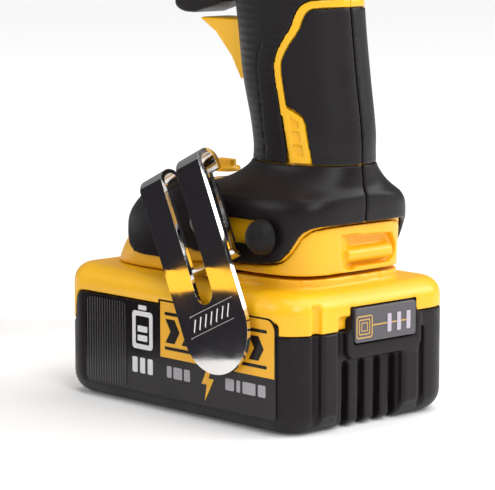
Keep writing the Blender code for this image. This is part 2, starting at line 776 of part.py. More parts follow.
def build_drive():
    frame = prism(
        "drive_frame",
        [(FRAME_FRONT, 214), (-45, 214), (-45, 200), (-32, 192), (4, 192), (10, 205),
         (FRAME_REAR, 212), (FRAME_REAR, 244), (24, 250.0), (4, 250.0), (-30, 240),
         (FRAME_FRONT, 238)],
        -FRAME_OUT, FRAME_OUT, "XZ", "cast",
    )
    middle = box(
        "cut_frame_middle", (FRAME_FRONT + FRAME_BAR, -FRAME_IN, 180),
        (FRAME_REAR - FRAME_BAR, FRAME_IN, 260),
    )
    slot = box(
        "cut_frame_slot", (FRAME_FRONT - 5, -BLADE_HALF_Y - GAP, DRIVE_Z - BLADE_HALF_Z - GAP),
        (FRAME_FRONT + FRAME_BAR + 5, BLADE_HALF_Y + GAP, DRIVE_Z + BLADE_HALF_Z + GAP),
    )
    seat = rod("cut_frame_seats", (WHEEL_X, -30, WHEEL_Z), (WHEEL_X, 30, WHEEL_Z), BEARING_R + GAP)
    arm_seat = rod("cut_frame_arm_pin", (ARM_X, -30, ARM_Z), (ARM_X, 30, ARM_Z), 3.0 + GAP)
    for cut in (middle, slot, seat, arm_seat):
        boolean(frame, cut)
    for side, name in ((-1, "bearing_left"), (1, "bearing_right")):
        turned(
            name,
            [(BEARING_R, 1.5), (BEARING_R, -1.5), (SHAFT_R + GAP, -1.5), (SHAFT_R + GAP, 1.5)],
            (WHEEL_X, side * (FRAME_IN + FRAME_OUT) / 2, WHEEL_Z), "steel",
        )
    centre = (WHEEL_X, 0, WHEEL_Z)
    turned(
        "flywheel",
        [(WHEEL_R, WHEEL_HALF), (WHEEL_R, -WHEEL_HALF), (WHEEL_R - 4, -WHEEL_HALF),
         (WHEEL_R - 5, -1.8), (7, -1.8), (6, -WHEEL_HALF - 2), (SHAFT_R + GAP, -WHEEL_HALF - 2),
         (SHAFT_R + GAP, WHEEL_HALF + 2), (6, WHEEL_HALF + 2), (7, 1.8), (WHEEL_R - 5, 1.8),
         (WHEEL_R - 4, WHEEL_HALF)],
        centre, "steel",
    )
    shaft = rod("motor_shaft", (WHEEL_X, CAN_Y - 0.4, WHEEL_Z), (WHEEL_X, 18, WHEEL_Z), SHAFT_R, "steel")
    pivot(shaft, centre)
    # The rotor can opens towards the side plate and turns round the stator.
    turned(
        "rotor_can",
        [(CAN_R, CAN_LEN), (CAN_R, 0.6), (CAN_R - 1, 0), (SHAFT_R + GAP, 0),
         (SHAFT_R + GAP, 1.6), (CAN_R - 1.4, 1.6), (CAN_R - 1.4, CAN_LEN)],
        (WHEEL_X, CAN_Y, WHEEL_Z), "cast",
    )
    turned(
        "motor_stator",
        [(CAN_R - 2, CAN_LEN), (CAN_R - 2, 2.4), (SHAFT_R + 1.2, 2.4), (SHAFT_R + 1.2, CAN_LEN)],
        (WHEEL_X, CAN_Y + 0.5, WHEEL_Z), "copper",
    )
    carriage = box(
        "driver_blade", (CARRIAGE_FRONT, -WHEEL_HALF - 0.2, CARRIAGE_LOW),
        (CARRIAGE_REAR, WHEEL_HALF + 0.2, CARRIAGE_TOP), "steel",
    )
    wings = box(
        "join_wings", (CARRIAGE_FRONT + 2, -12.5, CARRIAGE_LOW + 1.2),
        (CARRIAGE_FRONT + 14, 12.5, CARRIAGE_TOP + 3.0),
    )
    notch = box(
        "cut_wings", (CARRIAGE_FRONT, -WHEEL_HALF - 0.6, CARRIAGE_TOP),
        (CARRIAGE_FRONT + 20, WHEEL_HALF + 0.6, CARRIAGE_TOP + 6),
    )
    blade = box(
        "join_blade", (BLADE_FRONT, -BLADE_HALF_Y, DRIVE_Z - BLADE_HALF_Z),
        (CARRIAGE_FRONT + 4, BLADE_HALF_Y, DRIVE_Z + BLADE_HALF_Z),
    )
    boolean(carriage, wings, "UNION")
    boolean(carriage, blade, "UNION")
    boolean(carriage, notch)
    rod_front = FRAME_FRONT + FRAME_BAR + GAP
    rod_rear = FRAME_REAR - FRAME_BAR - GAP
    for side, word in ((-1, "left"), (1, "right")):
        y = side * ROD_Y
        rod("guide_rod_" + word, (rod_front, y, ROD_Z), (rod_rear, y, ROD_Z), ROD_R, "steel")
        hole = rod("cut_rod_" + word, (-20, y, ROD_Z), (60, y, ROD_Z), ROD_R + GAP)
        boolean(carriage, hole)
        coil(
            "return_spring_" + word, (rod_front, y, ROD_Z), (CARRIAGE_FRONT + 2 - 0.1, y, ROD_Z),
            ROD_SPRING_R, 0.9, 14,
        )
    stop = CARRIAGE_FRONT - STROKE - 0.5
    bumper = box(
        "driver_bumper", (rod_front, -3.7, 220), (stop, 3.7, 232), "rubber", bevel=0.6,
    )
    bumper_slot = box(
        "cut_bumper", (rod_front - 3, -BLADE_HALF_Y - GAP, DRIVE_Z - BLADE_HALF_Z - GAP),
        (stop + 3, BLADE_HALF_Y + GAP, DRIVE_Z + BLADE_HALF_Z + GAP),
    )
    boolean(bumper, bumper_slot)


def build_clutch():
    """The arm, roller and solenoid that press the driver on the flywheel."""
    arm = prism(
        "roller_arm",
        [(WHEEL_X - 4, ROLLER_Z - 2.6), (WHEEL_X + 3, ROLLER_Z - 4), (ARM_X + 2, ARM_Z - 6),
         (ARM_X + 6, ARM_Z - 3), (ARM_X + 5.5, ARM_Z + 6), (ARM_X + 4, SOLENOID_Z + 4),
         (ARM_X - 1, SOLENOID_Z + 4), (ARM_X - 4, ARM_Z + 6), (WHEEL_X, ROLLER_Z + 5),
         (WHEEL_X - 5, ROLLER_Z + 2)],
        -6.5, 6.5, "XZ", "cast",
    )
    space = box(
        "cut_arm_space", (WHEEL_X - 12, -WHEEL_HALF - 0.6, 220),
        (WHEEL_X + ROLLER_R + 2, WHEEL_HALF + 0.6, 260),
    )
    pin_hole = rod("cut_arm_pin", (ARM_X, -20, ARM_Z), (ARM_X, 20, ARM_Z), 3.0 + GAP)
    roller_hole = rod("cut_arm_roller", (WHEEL_X, -20, ROLLER_Z), (WHEEL_X, 20, ROLLER_Z), 1.8 + GAP)
    for cut in (space, pin_hole, roller_hole):
        boolean(arm, cut)
    pivot(arm, (ARM_X, 0, ARM_Z))
    rod("arm_pin", (ARM_X, -15.8, ARM_Z), (ARM_X, 15.8, ARM_Z), 3.0, "steel")
    rod("roller_pin", (WHEEL_X, -7, ROLLER_Z), (WHEEL_X, 7, ROLLER_Z), 1.8, "steel", 16)
    turned(
        "pinch_roller",
        [(ROLLER_R, WHEEL_HALF - 0.1), (ROLLER_R, 0.1 - WHEEL_HALF), (1.8 + GAP, 0.1 - WHEEL_HALF),
         (1.8 + GAP, WHEEL_HALF - 0.1)],
        (WHEEL_X, 0, ROLLER_Z), "steel",
    )
    body = box(
        "solenoid_body", (SOLENOID_X, -9, SOLENOID_Z - 7), (SOLENOID_X + 19, 9, SOLENOID_Z + 7),
        "copper", bevel=0.8,
    )
    bore = rod(
        "cut_solenoid_bore", (SOLENOID_X - 5, 0, SOLENOID_Z), (SOLENOID_X + 15, 0, SOLENOID_Z),
        3.0 + GAP,
    )
    boolean(body, bore)
    rod(
        "solenoid_plunger", (ARM_X + 6.0, 0, SOLENOID_Z), (SOLENOID_X + 13, 0, SOLENOID_Z), 3.0,
        "steel",
    )


def build_nose():
    slot_y = 2.0
    nose = prism(
        "nosepiece",
        [(NOSE_FRONT, NOSE_LOW + 4), (NOSE_FRONT + 6, NOSE_LOW), (-152, NOSE_LOW), (-152, 217),
         (FRAME_FRONT - GAP, 217), (FRAME_FRONT - GAP, 235), (-152, 235), (-156, HINGE_Z + 3),
         (-168.5, HINGE_Z + 3), (-168.5, NOSE_TOP), (NOSE_FRONT + 3, NOSE_TOP),
         (NOSE_FRONT, 236)],
        -NOSE_Y, NOSE_Y, "XZ", "cast",
    )
    cuts = [
        box("cut_nose_slot", (NOSE_FRONT + NOSE_WALL, -slot_y, 205), (NOSE_SOLID, slot_y, 252)),
        box(
            "cut_nose_bore",
            (NOSE_FRONT - 5, -BLADE_HALF_Y - GAP, DRIVE_Z - BLADE_HALF_Z - GAP),
            (-80, BLADE_HALF_Y + GAP, DRIVE_Z + BLADE_HALF_Z + GAP),
        ),
        box("cut_nose_knuckle", (-172, -5.4, NOSE_TOP - 0.4), (-153, 5.4, 252)),
        box("cut_nose_neck_left", (-151, -20, 200), (-80, -7, 250)),
        box("cut_nose_neck_right", (-151, 7, 200), (-80, 20, 250)),
        box("cut_nose_cheek_left", (NAIL_X0, -20, NOSE_LOW + 5), (NAIL_X1, -5.5, NOSE_TOP - 5)),
        box("cut_nose_cheek_right", (NAIL_X0, 5.5, NOSE_LOW + 5), (NAIL_X1, 20, NOSE_TOP - 5)),
        rod("cut_nose_pin", (HINGE_X, -20, HINGE_Z), (HINGE_X, 20, HINGE_Z), HINGE_R + GAP),
    ]
    for cut in cuts:
        boolean(nose, cut)
    door_low = NOSE_TOP + GAP
    door = box(
        "nose_door", (NOSE_FRONT + 8, -8.6, door_low), (-169.5, 8.6, door_low + DOOR_T), "cast",
    )
    knuckle = rod("join_knuckle", (HINGE_X, -5, HINGE_Z), (HINGE_X, 5, HINGE_Z), 3.4)
    strap = box("join_strap", (-176, -5, door_low + 0.8), (HINGE_X, 5, door_low + DOOR_T))
    door_hole = rod("cut_door_pin", (HINGE_X, -20, HINGE_Z), (HINGE_X, 20, HINGE_Z), HINGE_R + GAP)
    boolean(door, strap, "UNION")
    boolean(door, knuckle, "UNION")
    boolean(door, door_hole)
    pivot(door, (HINGE_X, 0, HINGE_Z))
    rod("door_pin", (HINGE_X, -8.8, HINGE_Z), (HINGE_X, 8.8, HINGE_Z), HINGE_R, "steel", 16)
    latch = prism(
        "door_latch",
        [(NOSE_FRONT, door_low), (NOSE_FRONT + 7.6, door_low), (NOSE_FRONT + 7.6, door_low + 5),
         (NOSE_FRONT + 3, door_low + 6.5), (NOSE_FRONT, door_low + 4)],
        -6, 6, "XZ", "steel",
    )
    pivot(latch, (NOSE_FRONT, 0, door_low))
    # The trip's fork slides along both cheeks of the nose.
    trip_front = NOSE_FRONT - TRIP_TRAVEL - 1.0
    trip = box(
        "contact_trip", (trip_front - 2.4, -TRIP_Y - TRIP_T, 214),
        (-150, TRIP_Y + TRIP_T, 232), "steel",
    )
    cuts = [
        box("cut_trip_middle", (trip_front, -TRIP_Y, 200), (-140, TRIP_Y, 250)),
        box("cut_trip_low", (trip_front + 8, -20, 210), (-140, 20, 219)),
        box("cut_trip_nail", (trip_front - 6, -2.2, 222), (trip_front + 6, 2.2, 230)),
        box("cut_trip_top", (trip_front + 8, -20, 229), (-140, 20, 250)),
    ]
    for cut in cuts:
        boolean(trip, cut)
    pad = box(
        "trip_pad", (trip_front - 2.4 - GAP - 3.0, -8, 215.5), (trip_front - 2.4 - GAP, 8, 233),
        "rubber", bevel=0.8,
    )
    boolean(pad, box("cut_pad_nail", (trip_front - 12, -2.2, 222), (trip_front, 2.2, 230)))
    spring_y = -TRIP_Y - TRIP_T / 2
    coil("trip_spring", (-149.7, spring_y, 224), (-118, spring_y, 224), 2.2, 0.7, 9)
    turned(
        "depth_wheel",
        [(DEPTH_R, 3), (DEPTH_R, -3), (2.0 + GAP, -3), (2.0 + GAP, 3)],
        (DEPTH_X, 0, DEPTH_Z), "black", "X", 24,
    )
    rod("depth_screw", (-163.5, 0, DEPTH_Z), (-134, 0, DEPTH_Z), 2.0, "steel", 20)
    rod(
        "work_light", (HEAD_FRONT - 3, LIGHT_Y, DRIVE_Z), (HEAD_FRONT - GAP, LIGHT_Y, DRIVE_Z),
        LIGHT_R, "lens", 20,
    )


def build_magazine():
    groove_top = STRIP_LOW - PUSHER_H + 6
    cover_out = CHANNEL_HALF + 0.1 + COVER_T
    middle = (NAIL_X0 + NAIL_X1) / 2
    groove = rod("cut_groove", (middle, 0, MAG_LOW + 4), (middle, 0, groove_top), 3.3)
    track = box(
        "magazine_track", (MAG_X0, -MAG_Y, MAG_LOW), (MAG_X1, CHANNEL_HALF - 0.2, MAG_TOP), "cast",
    )
    slot = box(
        "cut_track_slot", (NAIL_X0 - 0.5, -CHANNEL_HALF, MAG_LOW + 4),
        (NAIL_X1 + 0.5, CHANNEL_HALF + 1, MAG_TOP + 5),
    )
    pocket = box(
        "cut_track_pocket", (MAG_X0 + MAG_RIB, -MAG_Y - 5, MAG_LOW + MAG_RIB),
        (MAG_X1 - MAG_RIB, -MAG_Y + 2.2, MAG_TOP - MAG_RIB),
    )
    for cut in (slot, groove, pocket):
        boolean(track, cut)
    cover = box(
        "magazine_cover", (MAG_X0, CHANNEL_HALF + 0.1, MAG_LOW), (MAG_X1, cover_out, MAG_TOP),
        "black", bevel=0.8,
    )
    # The cover's own groove is open at the top, so the cover can slide down past the pusher.
    boolean(cover, rod("cut_cover_groove", (middle, 0, MAG_LOW + 4), (middle, 0, MAG_TOP + 5), 3.3))
    box(
        "nail_strip", (NAIL_X0, -NAIL_T / 2, STRIP_LOW), (NAIL_X1, NAIL_T / 2, STRIP_TOP), "steel",
    )
    top = STRIP_LOW - GAP
    pusher = box(
        "pusher", (NAIL_X0 + 1, -0.7, top - PUSHER_H), (NAIL_X1 - 1, 0.7, top), "black",
    )
    boss = rod("join_pusher_boss", (middle, 0, top - PUSHER_H), (middle, 0, top - PUSHER_H + 5), 2.7)
    boolean(pusher, boss, "UNION")
    coil(
        "pusher_spring", (middle, 0, MAG_LOW + 4.2), (middle, 0, top - PUSHER_H - 0.2), 2.3, 0.7, 14,
    )
    face = cover_out + GAP
    latch = box("magazine_latch", (middle - 9, face, 62), (middle + 9, face + 3.4, 80), "yellow", 0.8)
    pivot(latch, (middle, face, 80))
    box(
        "magazine_end_cap", (MAG_X0 - 1.5, -MAG_Y - 1.0, 0),
        (MAG_X1 + 1.5, CHANNEL_HALF - 0.2, MAG_LOW - GAP), "rubber", bevel=1.2,
    )


clear_scene()
parts = new_collection("brad_nailer")
cutters = new_collection("cutters")
build_housing()
build_grips()
build_battery()
build_foot()
build_hook()
build_trigger()
build_drive()
build_clutch()
build_nose()
build_magazine()
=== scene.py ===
# %% [markdown]
# # A cordless brad nailer on its slide battery
#
# The real tool is a stack of moulded shells: a black and yellow battery pack, a foot that
# slides onto it, a rubber covered handle, and a head that carries the nose and the magazine.
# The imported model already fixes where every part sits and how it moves, so this script loads
# it as a frame and gives each part the shape and finish that the eye sees.

# %% Load the frame and note its size
import math

import bmesh
import bpy
from mathutils import Matrix, Vector


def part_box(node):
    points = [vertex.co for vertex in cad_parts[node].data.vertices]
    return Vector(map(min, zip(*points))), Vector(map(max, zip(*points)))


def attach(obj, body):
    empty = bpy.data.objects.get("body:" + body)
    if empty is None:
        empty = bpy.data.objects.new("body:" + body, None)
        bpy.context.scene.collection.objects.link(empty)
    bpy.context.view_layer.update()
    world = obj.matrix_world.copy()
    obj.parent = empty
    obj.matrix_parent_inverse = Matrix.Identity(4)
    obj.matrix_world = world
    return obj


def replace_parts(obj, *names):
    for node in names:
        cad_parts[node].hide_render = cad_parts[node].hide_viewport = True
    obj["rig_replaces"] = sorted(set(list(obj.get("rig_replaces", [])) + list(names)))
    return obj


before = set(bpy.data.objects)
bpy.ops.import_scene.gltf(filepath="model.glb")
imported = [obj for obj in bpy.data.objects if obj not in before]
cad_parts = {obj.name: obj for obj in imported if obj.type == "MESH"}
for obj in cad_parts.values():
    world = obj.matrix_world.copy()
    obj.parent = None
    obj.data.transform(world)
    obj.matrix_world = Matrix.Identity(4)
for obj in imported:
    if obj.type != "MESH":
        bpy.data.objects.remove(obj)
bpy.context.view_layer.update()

MM = 0.001

# %% [markdown]
# ## Camera, floor and light
#
# A product picture is lit by large soft sources in a white room. A pale floor that reaches far
# behind the tool shows no horizon, so the outline of the tool is all that is seen.
# no colour of its own: it shows what stands around it, so a dark card and a small warm card
# stand out of sight where the belt hook looks at them. They are seen by gloss only.

# %% Camera
AZIMUTH = math.radians(46.99)
ELEVATION = math.radians(8.11)
CAMERA_DISTANCE = 0.9
LENS = 186.2
SENSOR = 36.0
LOOK_RIGHT = -0.00231
LOOK_UP = 0.05388


def aim_camera():
    away = Vector((
        math.sin(AZIMUTH) * math.cos(ELEVATION),
        -math.cos(AZIMUTH) * math.cos(ELEVATION),
        math.sin(ELEVATION),
    ))
    right = Vector((math.cos(AZIMUTH), math.sin(AZIMUTH), 0.0))
    up = away.cross(right)
    camera = bpy.data.objects.new("camera", bpy.data.cameras.new("camera"))
    bpy.context.scene.collection.objects.link(camera)
    camera.data.lens = LENS
    camera.data.sensor_width = SENSOR
    camera.data.clip_end = 30.0
    turn = Matrix((right, up, away)).transposed().to_4x4()
    spot = right * LOOK_RIGHT + up * LOOK_UP + away * CAMERA_DISTANCE
    camera.matrix_world = Matrix.Translation(spot) @ turn
    bpy.context.scene.camera = camera
    return camera


camera = aim_camera()
print("camera at", [round(v, 3) for v in camera.location])

# %% Floor
FLOOR_RADIUS = 12.0
FLOOR_DROP = 0.0002
FLOOR_GLOW = 0.08


def plain_material(name, colour, roughness=0.6, glow=0.0):
    material = bpy.data.materials.new(name)
    material.use_nodes = True
    shader = material.node_tree.nodes["Principled BSDF"]
    shader.inputs["Base Color"].default_value = (*colour, 1.0)
    shader.inputs["Roughness"].default_value = roughness
    shader.inputs["Emission Color"].default_value = (*colour, 1.0)
    shader.inputs["Emission Strength"].default_value = glow
    return material


def lay_floor():
    bm = bmesh.new()
    bmesh.ops.create_circle(bm, cap_ends=True, segments=96, radius=FLOOR_RADIUS)
    bmesh.ops.translate(bm, vec=(0, 0, -FLOOR_DROP), verts=bm.verts)
    mesh = bpy.data.meshes.new("floor")
    bm.to_mesh(mesh)
    bm.free()
    floor = bpy.data.objects.new("floor", mesh)
    floor.data.materials.append(plain_material("pale floor", (0.93, 0.93, 0.935), 0.55, FLOOR_GLOW))
    bpy.context.scene.collection.objects.link(floor)


lay_floor()

# %% Lights
ROOM_LIGHT = 0.22
SKY_LIGHT = 2.6
SKY_ANGLE = math.radians(70)
SKY_TILT = (math.radians(-12), math.radians(14), 0)
LAMP_AIM = (0, 0, 0.08)
CARD_AIM = (0.02, -0.04, 0.06)
LAMPS = [
    ("key", (1.5, -0.7, 1.2), 0.7, 13.0),
    ("left soft box", (-0.9, -1.4, 1.1), 0.8, 8.0),
    ("rear soft box", (0.9, 1.3, 0.8), 0.7, 10.0),
]
CARDS = [
    ("dark card", (-0.070, -0.126, 0.048), 0.15, 0.115, (0.012, 0.011, 0.018), 0.0),
    ("warm card", (-0.052, -0.112, 0.034), 0.036, 0.009, (1.0, 0.50, 0.04), 0.8),
]


def face_towards(obj, spot):
    obj.rotation_mode = "QUATERNION"
    obj.rotation_quaternion = (Vector(spot) - obj.location).to_track_quat("-Z", "Y")


def hang_lamps():
    for name, spot, size, power in LAMPS:
        lamp = bpy.data.lights.new(name, "AREA")
        lamp.shape = "SQUARE"
        lamp.size = size
        lamp.energy = power
        holder = bpy.data.objects.new(name, lamp)
        bpy.context.scene.collection.objects.link(holder)
        holder.location = spot
        face_towards(holder, LAMP_AIM)
    sky = bpy.data.lights.new("overhead light", "SUN")
    sky.energy = SKY_LIGHT
    sky.angle = SKY_ANGLE
    holder = bpy.data.objects.new("overhead light", sky)
    bpy.context.scene.collection.objects.link(holder)
    holder.rotation_euler = SKY_TILT
    world = bpy.data.worlds.new("white room")
    world.use_nodes = True
    room = world.node_tree.nodes["Background"]
    room.inputs["Color"].default_value = (1, 1, 1, 1)
    ray = world.node_tree.nodes.new("ShaderNodeLightPath").outputs["Is Camera Ray"]
    level = world.node_tree.nodes.new("ShaderNodeMapRange")
    level.inputs["To Min"].default_value = ROOM_LIGHT
    level.inputs["To Max"].default_value = 1.0
    world.node_tree.links.new(ray, level.inputs["Value"])
    world.node_tree.links.new(level.outputs["Result"], room.inputs["Strength"])
    bpy.context.scene.world = world
    bpy.context.scene.view_settings.view_transform = "Standard"


def stand_cards():
    for name, spot, width, height, colour, glow in CARDS:
        bm = bmesh.new()
        bmesh.ops.create_grid(bm, x_segments=1, y_segments=1, size=0.5)
        bmesh.ops.scale(bm, vec=(width, height, 1), verts=bm.verts)
        mesh = bpy.data.meshes.new(name)
        bm.to_mesh(mesh)
        bm.free()
        card = bpy.data.objects.new(name, mesh)
        card.data.materials.append(plain_material(name, colour, 1.0, glow))
        bpy.context.scene.collection.objects.link(card)
        card.location = spot
        face_towards(card, CARD_AIM)
        card.visible_camera = False
        card.visible_diffuse = False
        card.visible_shadow = False


hang_lamps()
stand_cards()
print(len(LAMPS), "lamps and", len(CARDS), "cards")

# %% [markdown]
# ## Finishes
#
# Every moulding has a skin that is not one flat colour: the tone drifts a little, the gloss
# is uneven, and a fine grain breaks up reflections. One function builds that skin from noise
# on Object coordinates, and each finish only says how coarse and how deep it is. Rubber adds
# the pebble of a textured mould, which is a cell pattern.

# %% A skin of drifting tone, uneven gloss and fine grain
def add_node(tree, kind, **inputs):
    node = tree.nodes.new(kind)
    for name, value in inputs.items():
        socket = node.inputs[name.replace("_", " ")]
        if isinstance(value, bpy.types.NodeSocket):
            tree.links.new(value, socket)
        else:
            socket.default_value = value
    return node


def skin_material(
    name, colour, roughness, grain, depth, drift=0.12, metallic=0.0, coat=0.0,
    gloss_drift=0.08, shine=0.5,
):
    material = bpy.data.materials.new(name)
    material.use_nodes = True
    tree = material.node_tree
    shader = tree.nodes["Principled BSDF"]
    shader.inputs["Metallic"].default_value = metallic
    shader.inputs["Specular IOR Level"].default_value = shine
    shader.inputs["Coat Weight"].default_value = coat
    shader.inputs["Coat Roughness"].default_value = 0.12
    where = tree.nodes.new("ShaderNodeTexCoord").outputs["Object"]
    cloud = add_node(tree, "ShaderNodeTexNoise", Vector=where, Scale=30.0, Detail=4.0)
    tone = tree.nodes.new("ShaderNodeValToRGB")
    for stop, position, level in zip(tone.color_ramp.elements, (0.3, 0.7), (-drift, drift)):
        stop.position = position
        stop.color = (*[min(c * (1 + level), 1.0) for c in colour], 1)
    tree.links.new(cloud.outputs["Fac"], tone.inputs["Fac"])
    tree.links.new(tone.outputs["Color"], shader.inputs["Base Color"])
    smear = add_node(tree, "ShaderNodeTexNoise", Vector=where, Scale=85.0, Detail=6.0)
    gloss = add_node(
        tree, "ShaderNodeMapRange", Value=smear.outputs["Fac"], From_Min=0.25, From_Max=0.75,
        To_Min=max(roughness - gloss_drift, 0.02), To_Max=roughness + gloss_drift,
    )
    tree.links.new(gloss.outputs["Result"], shader.inputs["Roughness"])
    fine = add_node(tree, "ShaderNodeTexNoise", Vector=where, Scale=grain, Detail=2.0)
    bump = add_node(
        tree, "ShaderNodeBump", Height=fine.outputs["Fac"], Strength=0.6, Distance=depth * MM)
    tree.links.new(bump.outputs["Normal"], shader.inputs["Normal"])
    return material


# %% Relief laid over the fine grain
def raise_pattern(material, kind, output, strength, depth, **settings):
    """Add a pattern's relief on top of the skin's own, and give the pattern's nodes."""
    tree = material.node_tree
    shader = tree.nodes["Principled BSDF"]
    grain = shader.inputs["Normal"].links[0].from_node
    where = tree.nodes.new("ShaderNodeTexCoord").outputs["Object"]
    pattern = add_node(tree, kind, Vector=where, **settings)
    bump = add_node(
        tree, "ShaderNodeBump", Height=pattern.outputs[output], Strength=strength,
        Normal=grain.outputs["Normal"], Distance=depth * MM,
    )
    tree.links.new(bump.outputs["Normal"], shader.inputs["Normal"])
    return pattern, bump


def pebble(material, size, depth):
    """The rounded cells of a textured mould."""
    cells, bump = raise_pattern(
        material, "ShaderNodeTexVoronoi", "Distance", 0.8, depth, Scale=1.0 / (size * MM))
    cells.feature = "SMOOTH_F1"
    bump.invert = True


def ribbed(material, pitch, depth, axis):
    """Fine straight ribs that repeat along one axis."""
    waves, _ = raise_pattern(
        material, "ShaderNodeTexWave", "Fac", 0.9, depth,
        Scale=2 * math.pi / (20 * pitch * MM))
    waves.bands_direction = axis


# %% The finishes of this tool
# Each row gives the colour, the roughness, how fine the grain is, how deep in millimetres,
# and what else that skin needs.
SKINS = {
    "yellow shell": ((0.95, 0.50, 0.006), 0.40, 2400, 0.03, {"drift": 0.05, "coat": 0.15}),
    "black shell": ((0.010, 0.0075, 0.0095), 0.42, 2600, 0.05, {"shine": 0.22}),
    "smooth rubber": ((0.008, 0.006, 0.0075), 0.42, 3000, 0.03, {"shine": 0.24}),
    "palm rubber": ((0.010, 0.008, 0.0095), 0.46, 3600, 0.03, {"shine": 0.26}),
    "finger rubber": ((0.010, 0.008, 0.0095), 0.46, 3000, 0.03, {"shine": 0.24}),
    "ball rubber": ((0.007, 0.006, 0.007), 0.56, 1500, 0.06, {"shine": 0.24}),
    "chrome plate": (
        (0.80, 0.79, 0.78), 0.07, 900, 0.004,
        {"drift": 0.04, "metallic": 1.0, "gloss_drift": 0.04}),
    "bright steel": ((0.56, 0.57, 0.59), 0.28, 1800, 0.012, {"drift": 0.10, "metallic": 1.0}),
    "blued steel": ((0.10, 0.10, 0.115), 0.33, 1800, 0.012, {"drift": 0.15, "metallic": 1.0}),
    "cast alloy": ((0.33, 0.335, 0.35), 0.48, 700, 0.08, {"drift": 0.10, "metallic": 0.9}),
    "copper wire": ((0.62, 0.25, 0.10), 0.34, 1800, 0.02, {"drift": 0.15, "metallic": 0.9}),
    "circuit board": ((0.012, 0.095, 0.035), 0.42, 500, 0.06, {"drift": 0.30, "coat": 0.4}),
    "grey plastic": ((0.085, 0.080, 0.088), 0.42, 2400, 0.04, {}),
    "clear lens": ((0.80, 0.83, 0.86), 0.12, 600, 0.01, {"coat": 0.8}),
    "cell sleeve": ((0.04, 0.10, 0.24), 0.40, 400, 0.03, {"drift": 0.15}),
    "label film": ((0.009, 0.007, 0.009), 0.22, 500, 0.006, {"coat": 0.1, "shine": 0.3}),
    "ribbed film": ((0.010, 0.008, 0.011), 0.24, 500, 0.006, {"coat": 0.1, "shine": 0.3}),
    "print yellow": ((0.86, 0.43, 0.02), 0.36, 900, 0.006, {"drift": 0.04}),
    "print black": ((0.010, 0.008, 0.009), 0.30, 900, 0.006, {"shine": 0.3}),
    "print white": ((0.70, 0.69, 0.71), 0.40, 900, 0.006, {"drift": 0.04}),
    "print grey": ((0.36, 0.34, 0.37), 0.40, 900, 0.006, {"drift": 0.04}),
    "print lilac": ((0.50, 0.44, 0.52), 0.40, 900, 0.006, {"drift": 0.04}),
    "print gold": ((0.62, 0.36, 0.10), 0.36, 900, 0.006, {"drift": 0.04}),
}
RIBS = {
    "finger rubber": (2.6, 0.10, "Z"), "copper wire": (0.9, 0.20, "Y"),
    "ribbed film": (1.35, 0.12, "X"),
}
FINISHES = {name: skin_material(name, *row[:4], **row[4]) for name, row in SKINS.items()}
pebble(FINISHES["palm rubber"], 0.9, 0.10)
for name, ribs in RIBS.items():
    ribbed(FINISHES[name], *ribs)
print(len(FINISHES), "finishes")
# %% [markdown]
# ## Tools of the bench
#
# All shaping is done in millimetres and scaled to metres when a piece is handed over. A
# moulding is made in three moves: rough solids are joined and cut, the result is wrapped in
# an even fine mesh, and a little smoothing melts every hard edge at once, as a real mould
# has no sharp corners. Filleting each edge by hand would give the same look with far more
# work, and fails where many curved cuts meet.

# %% Run modifiers on a bmesh
def as_object(bm, name="work"):
    mesh = bpy.data.meshes.new(name)
    bm.to_mesh(mesh)
    made = bpy.data.objects.new(name, mesh)
    bpy.context.scene.collection.objects.link(made)
    return made


def drop(obj):
    mesh = obj.data
    bpy.data.objects.remove(obj)
    bpy.data.meshes.remove(mesh)


def refined(bm, *steps):
    """Run a list of (modifier type, settings) on a bmesh and give it the result."""
    holder = as_object(bm)
    for kind, settings in steps:
        step = holder.modifiers.new(kind, kind)
        for key, value in settings.items():
            setattr(step, key, value)
    bpy.context.view_layer.update()
    graph = bpy.context.evaluated_depsgraph_get()
    result = bpy.data.meshes.new_from_object(holder.evaluated_get(graph))
    bm.clear()
    bm.from_mesh(result)
    bpy.data.meshes.remove(result)
    drop(holder)
    return bm


def combine(bm, tool, operation="DIFFERENCE", solver="MANIFOLD"):
    """Cut, join or intersect; the tool is left as it was."""
    other = as_object(tool)
    refined(bm, ("BOOLEAN", {"object": other, "operation": operation, "solver": solver}))
    drop(other)
    return bm


def cut(bm, *tools):
    for tool in tools:
        combine(bm, tool)
    return bm


def soften(bm, grid, passes=4):
    """Wrap in an even mesh and melt its edges."""
    return refined(
        bm, ("REMESH", {"mode": "VOXEL", "voxel_size": grid}),
        ("SMOOTH", {"factor": 0.5, "iterations": passes}),
    )


# %% Simple solids
DIRECTIONS = {
    "side": lambda u, v, w: (u, w, v),
    "rear": lambda u, v, w: (w, u, v),
    "top": lambda u, v, w: (u, v, w),
}


def slab(outline, low, high, plane="side"):
    """A flat outline given depth across its plane."""
    bm = bmesh.new()
    place = DIRECTIONS[plane]
    face = bm.faces.new([bm.verts.new(place(u, v, low)) for u, v in outline])
    grown = bmesh.ops.extrude_face_region(bm, geom=[face])["geom"]
    moved = [g for g in grown if isinstance(g, bmesh.types.BMVert)]
    bmesh.ops.translate(bm, vec=place(0, 0, high - low), verts=moved)
    bmesh.ops.recalc_face_normals(bm, faces=bm.faces)
    return bm


def block(low, high):
    bm = bmesh.new()
    bmesh.ops.create_cube(bm, size=1.0)
    bmesh.ops.scale(bm, vec=[b - a for a, b in zip(low, high)], verts=bm.verts)
    bmesh.ops.translate(bm, vec=[(a + b) / 2 for a, b in zip(low, high)], verts=bm.verts)
    return bm


def round_over(bm, edges, radius, segments=4):
    bmesh.ops.bevel(
        bm, geom=edges, offset=radius, offset_type="OFFSET", segments=segments,
        profile=0.5, affect="EDGES", material=-1, clamp_overlap=True,
    )
    return bm


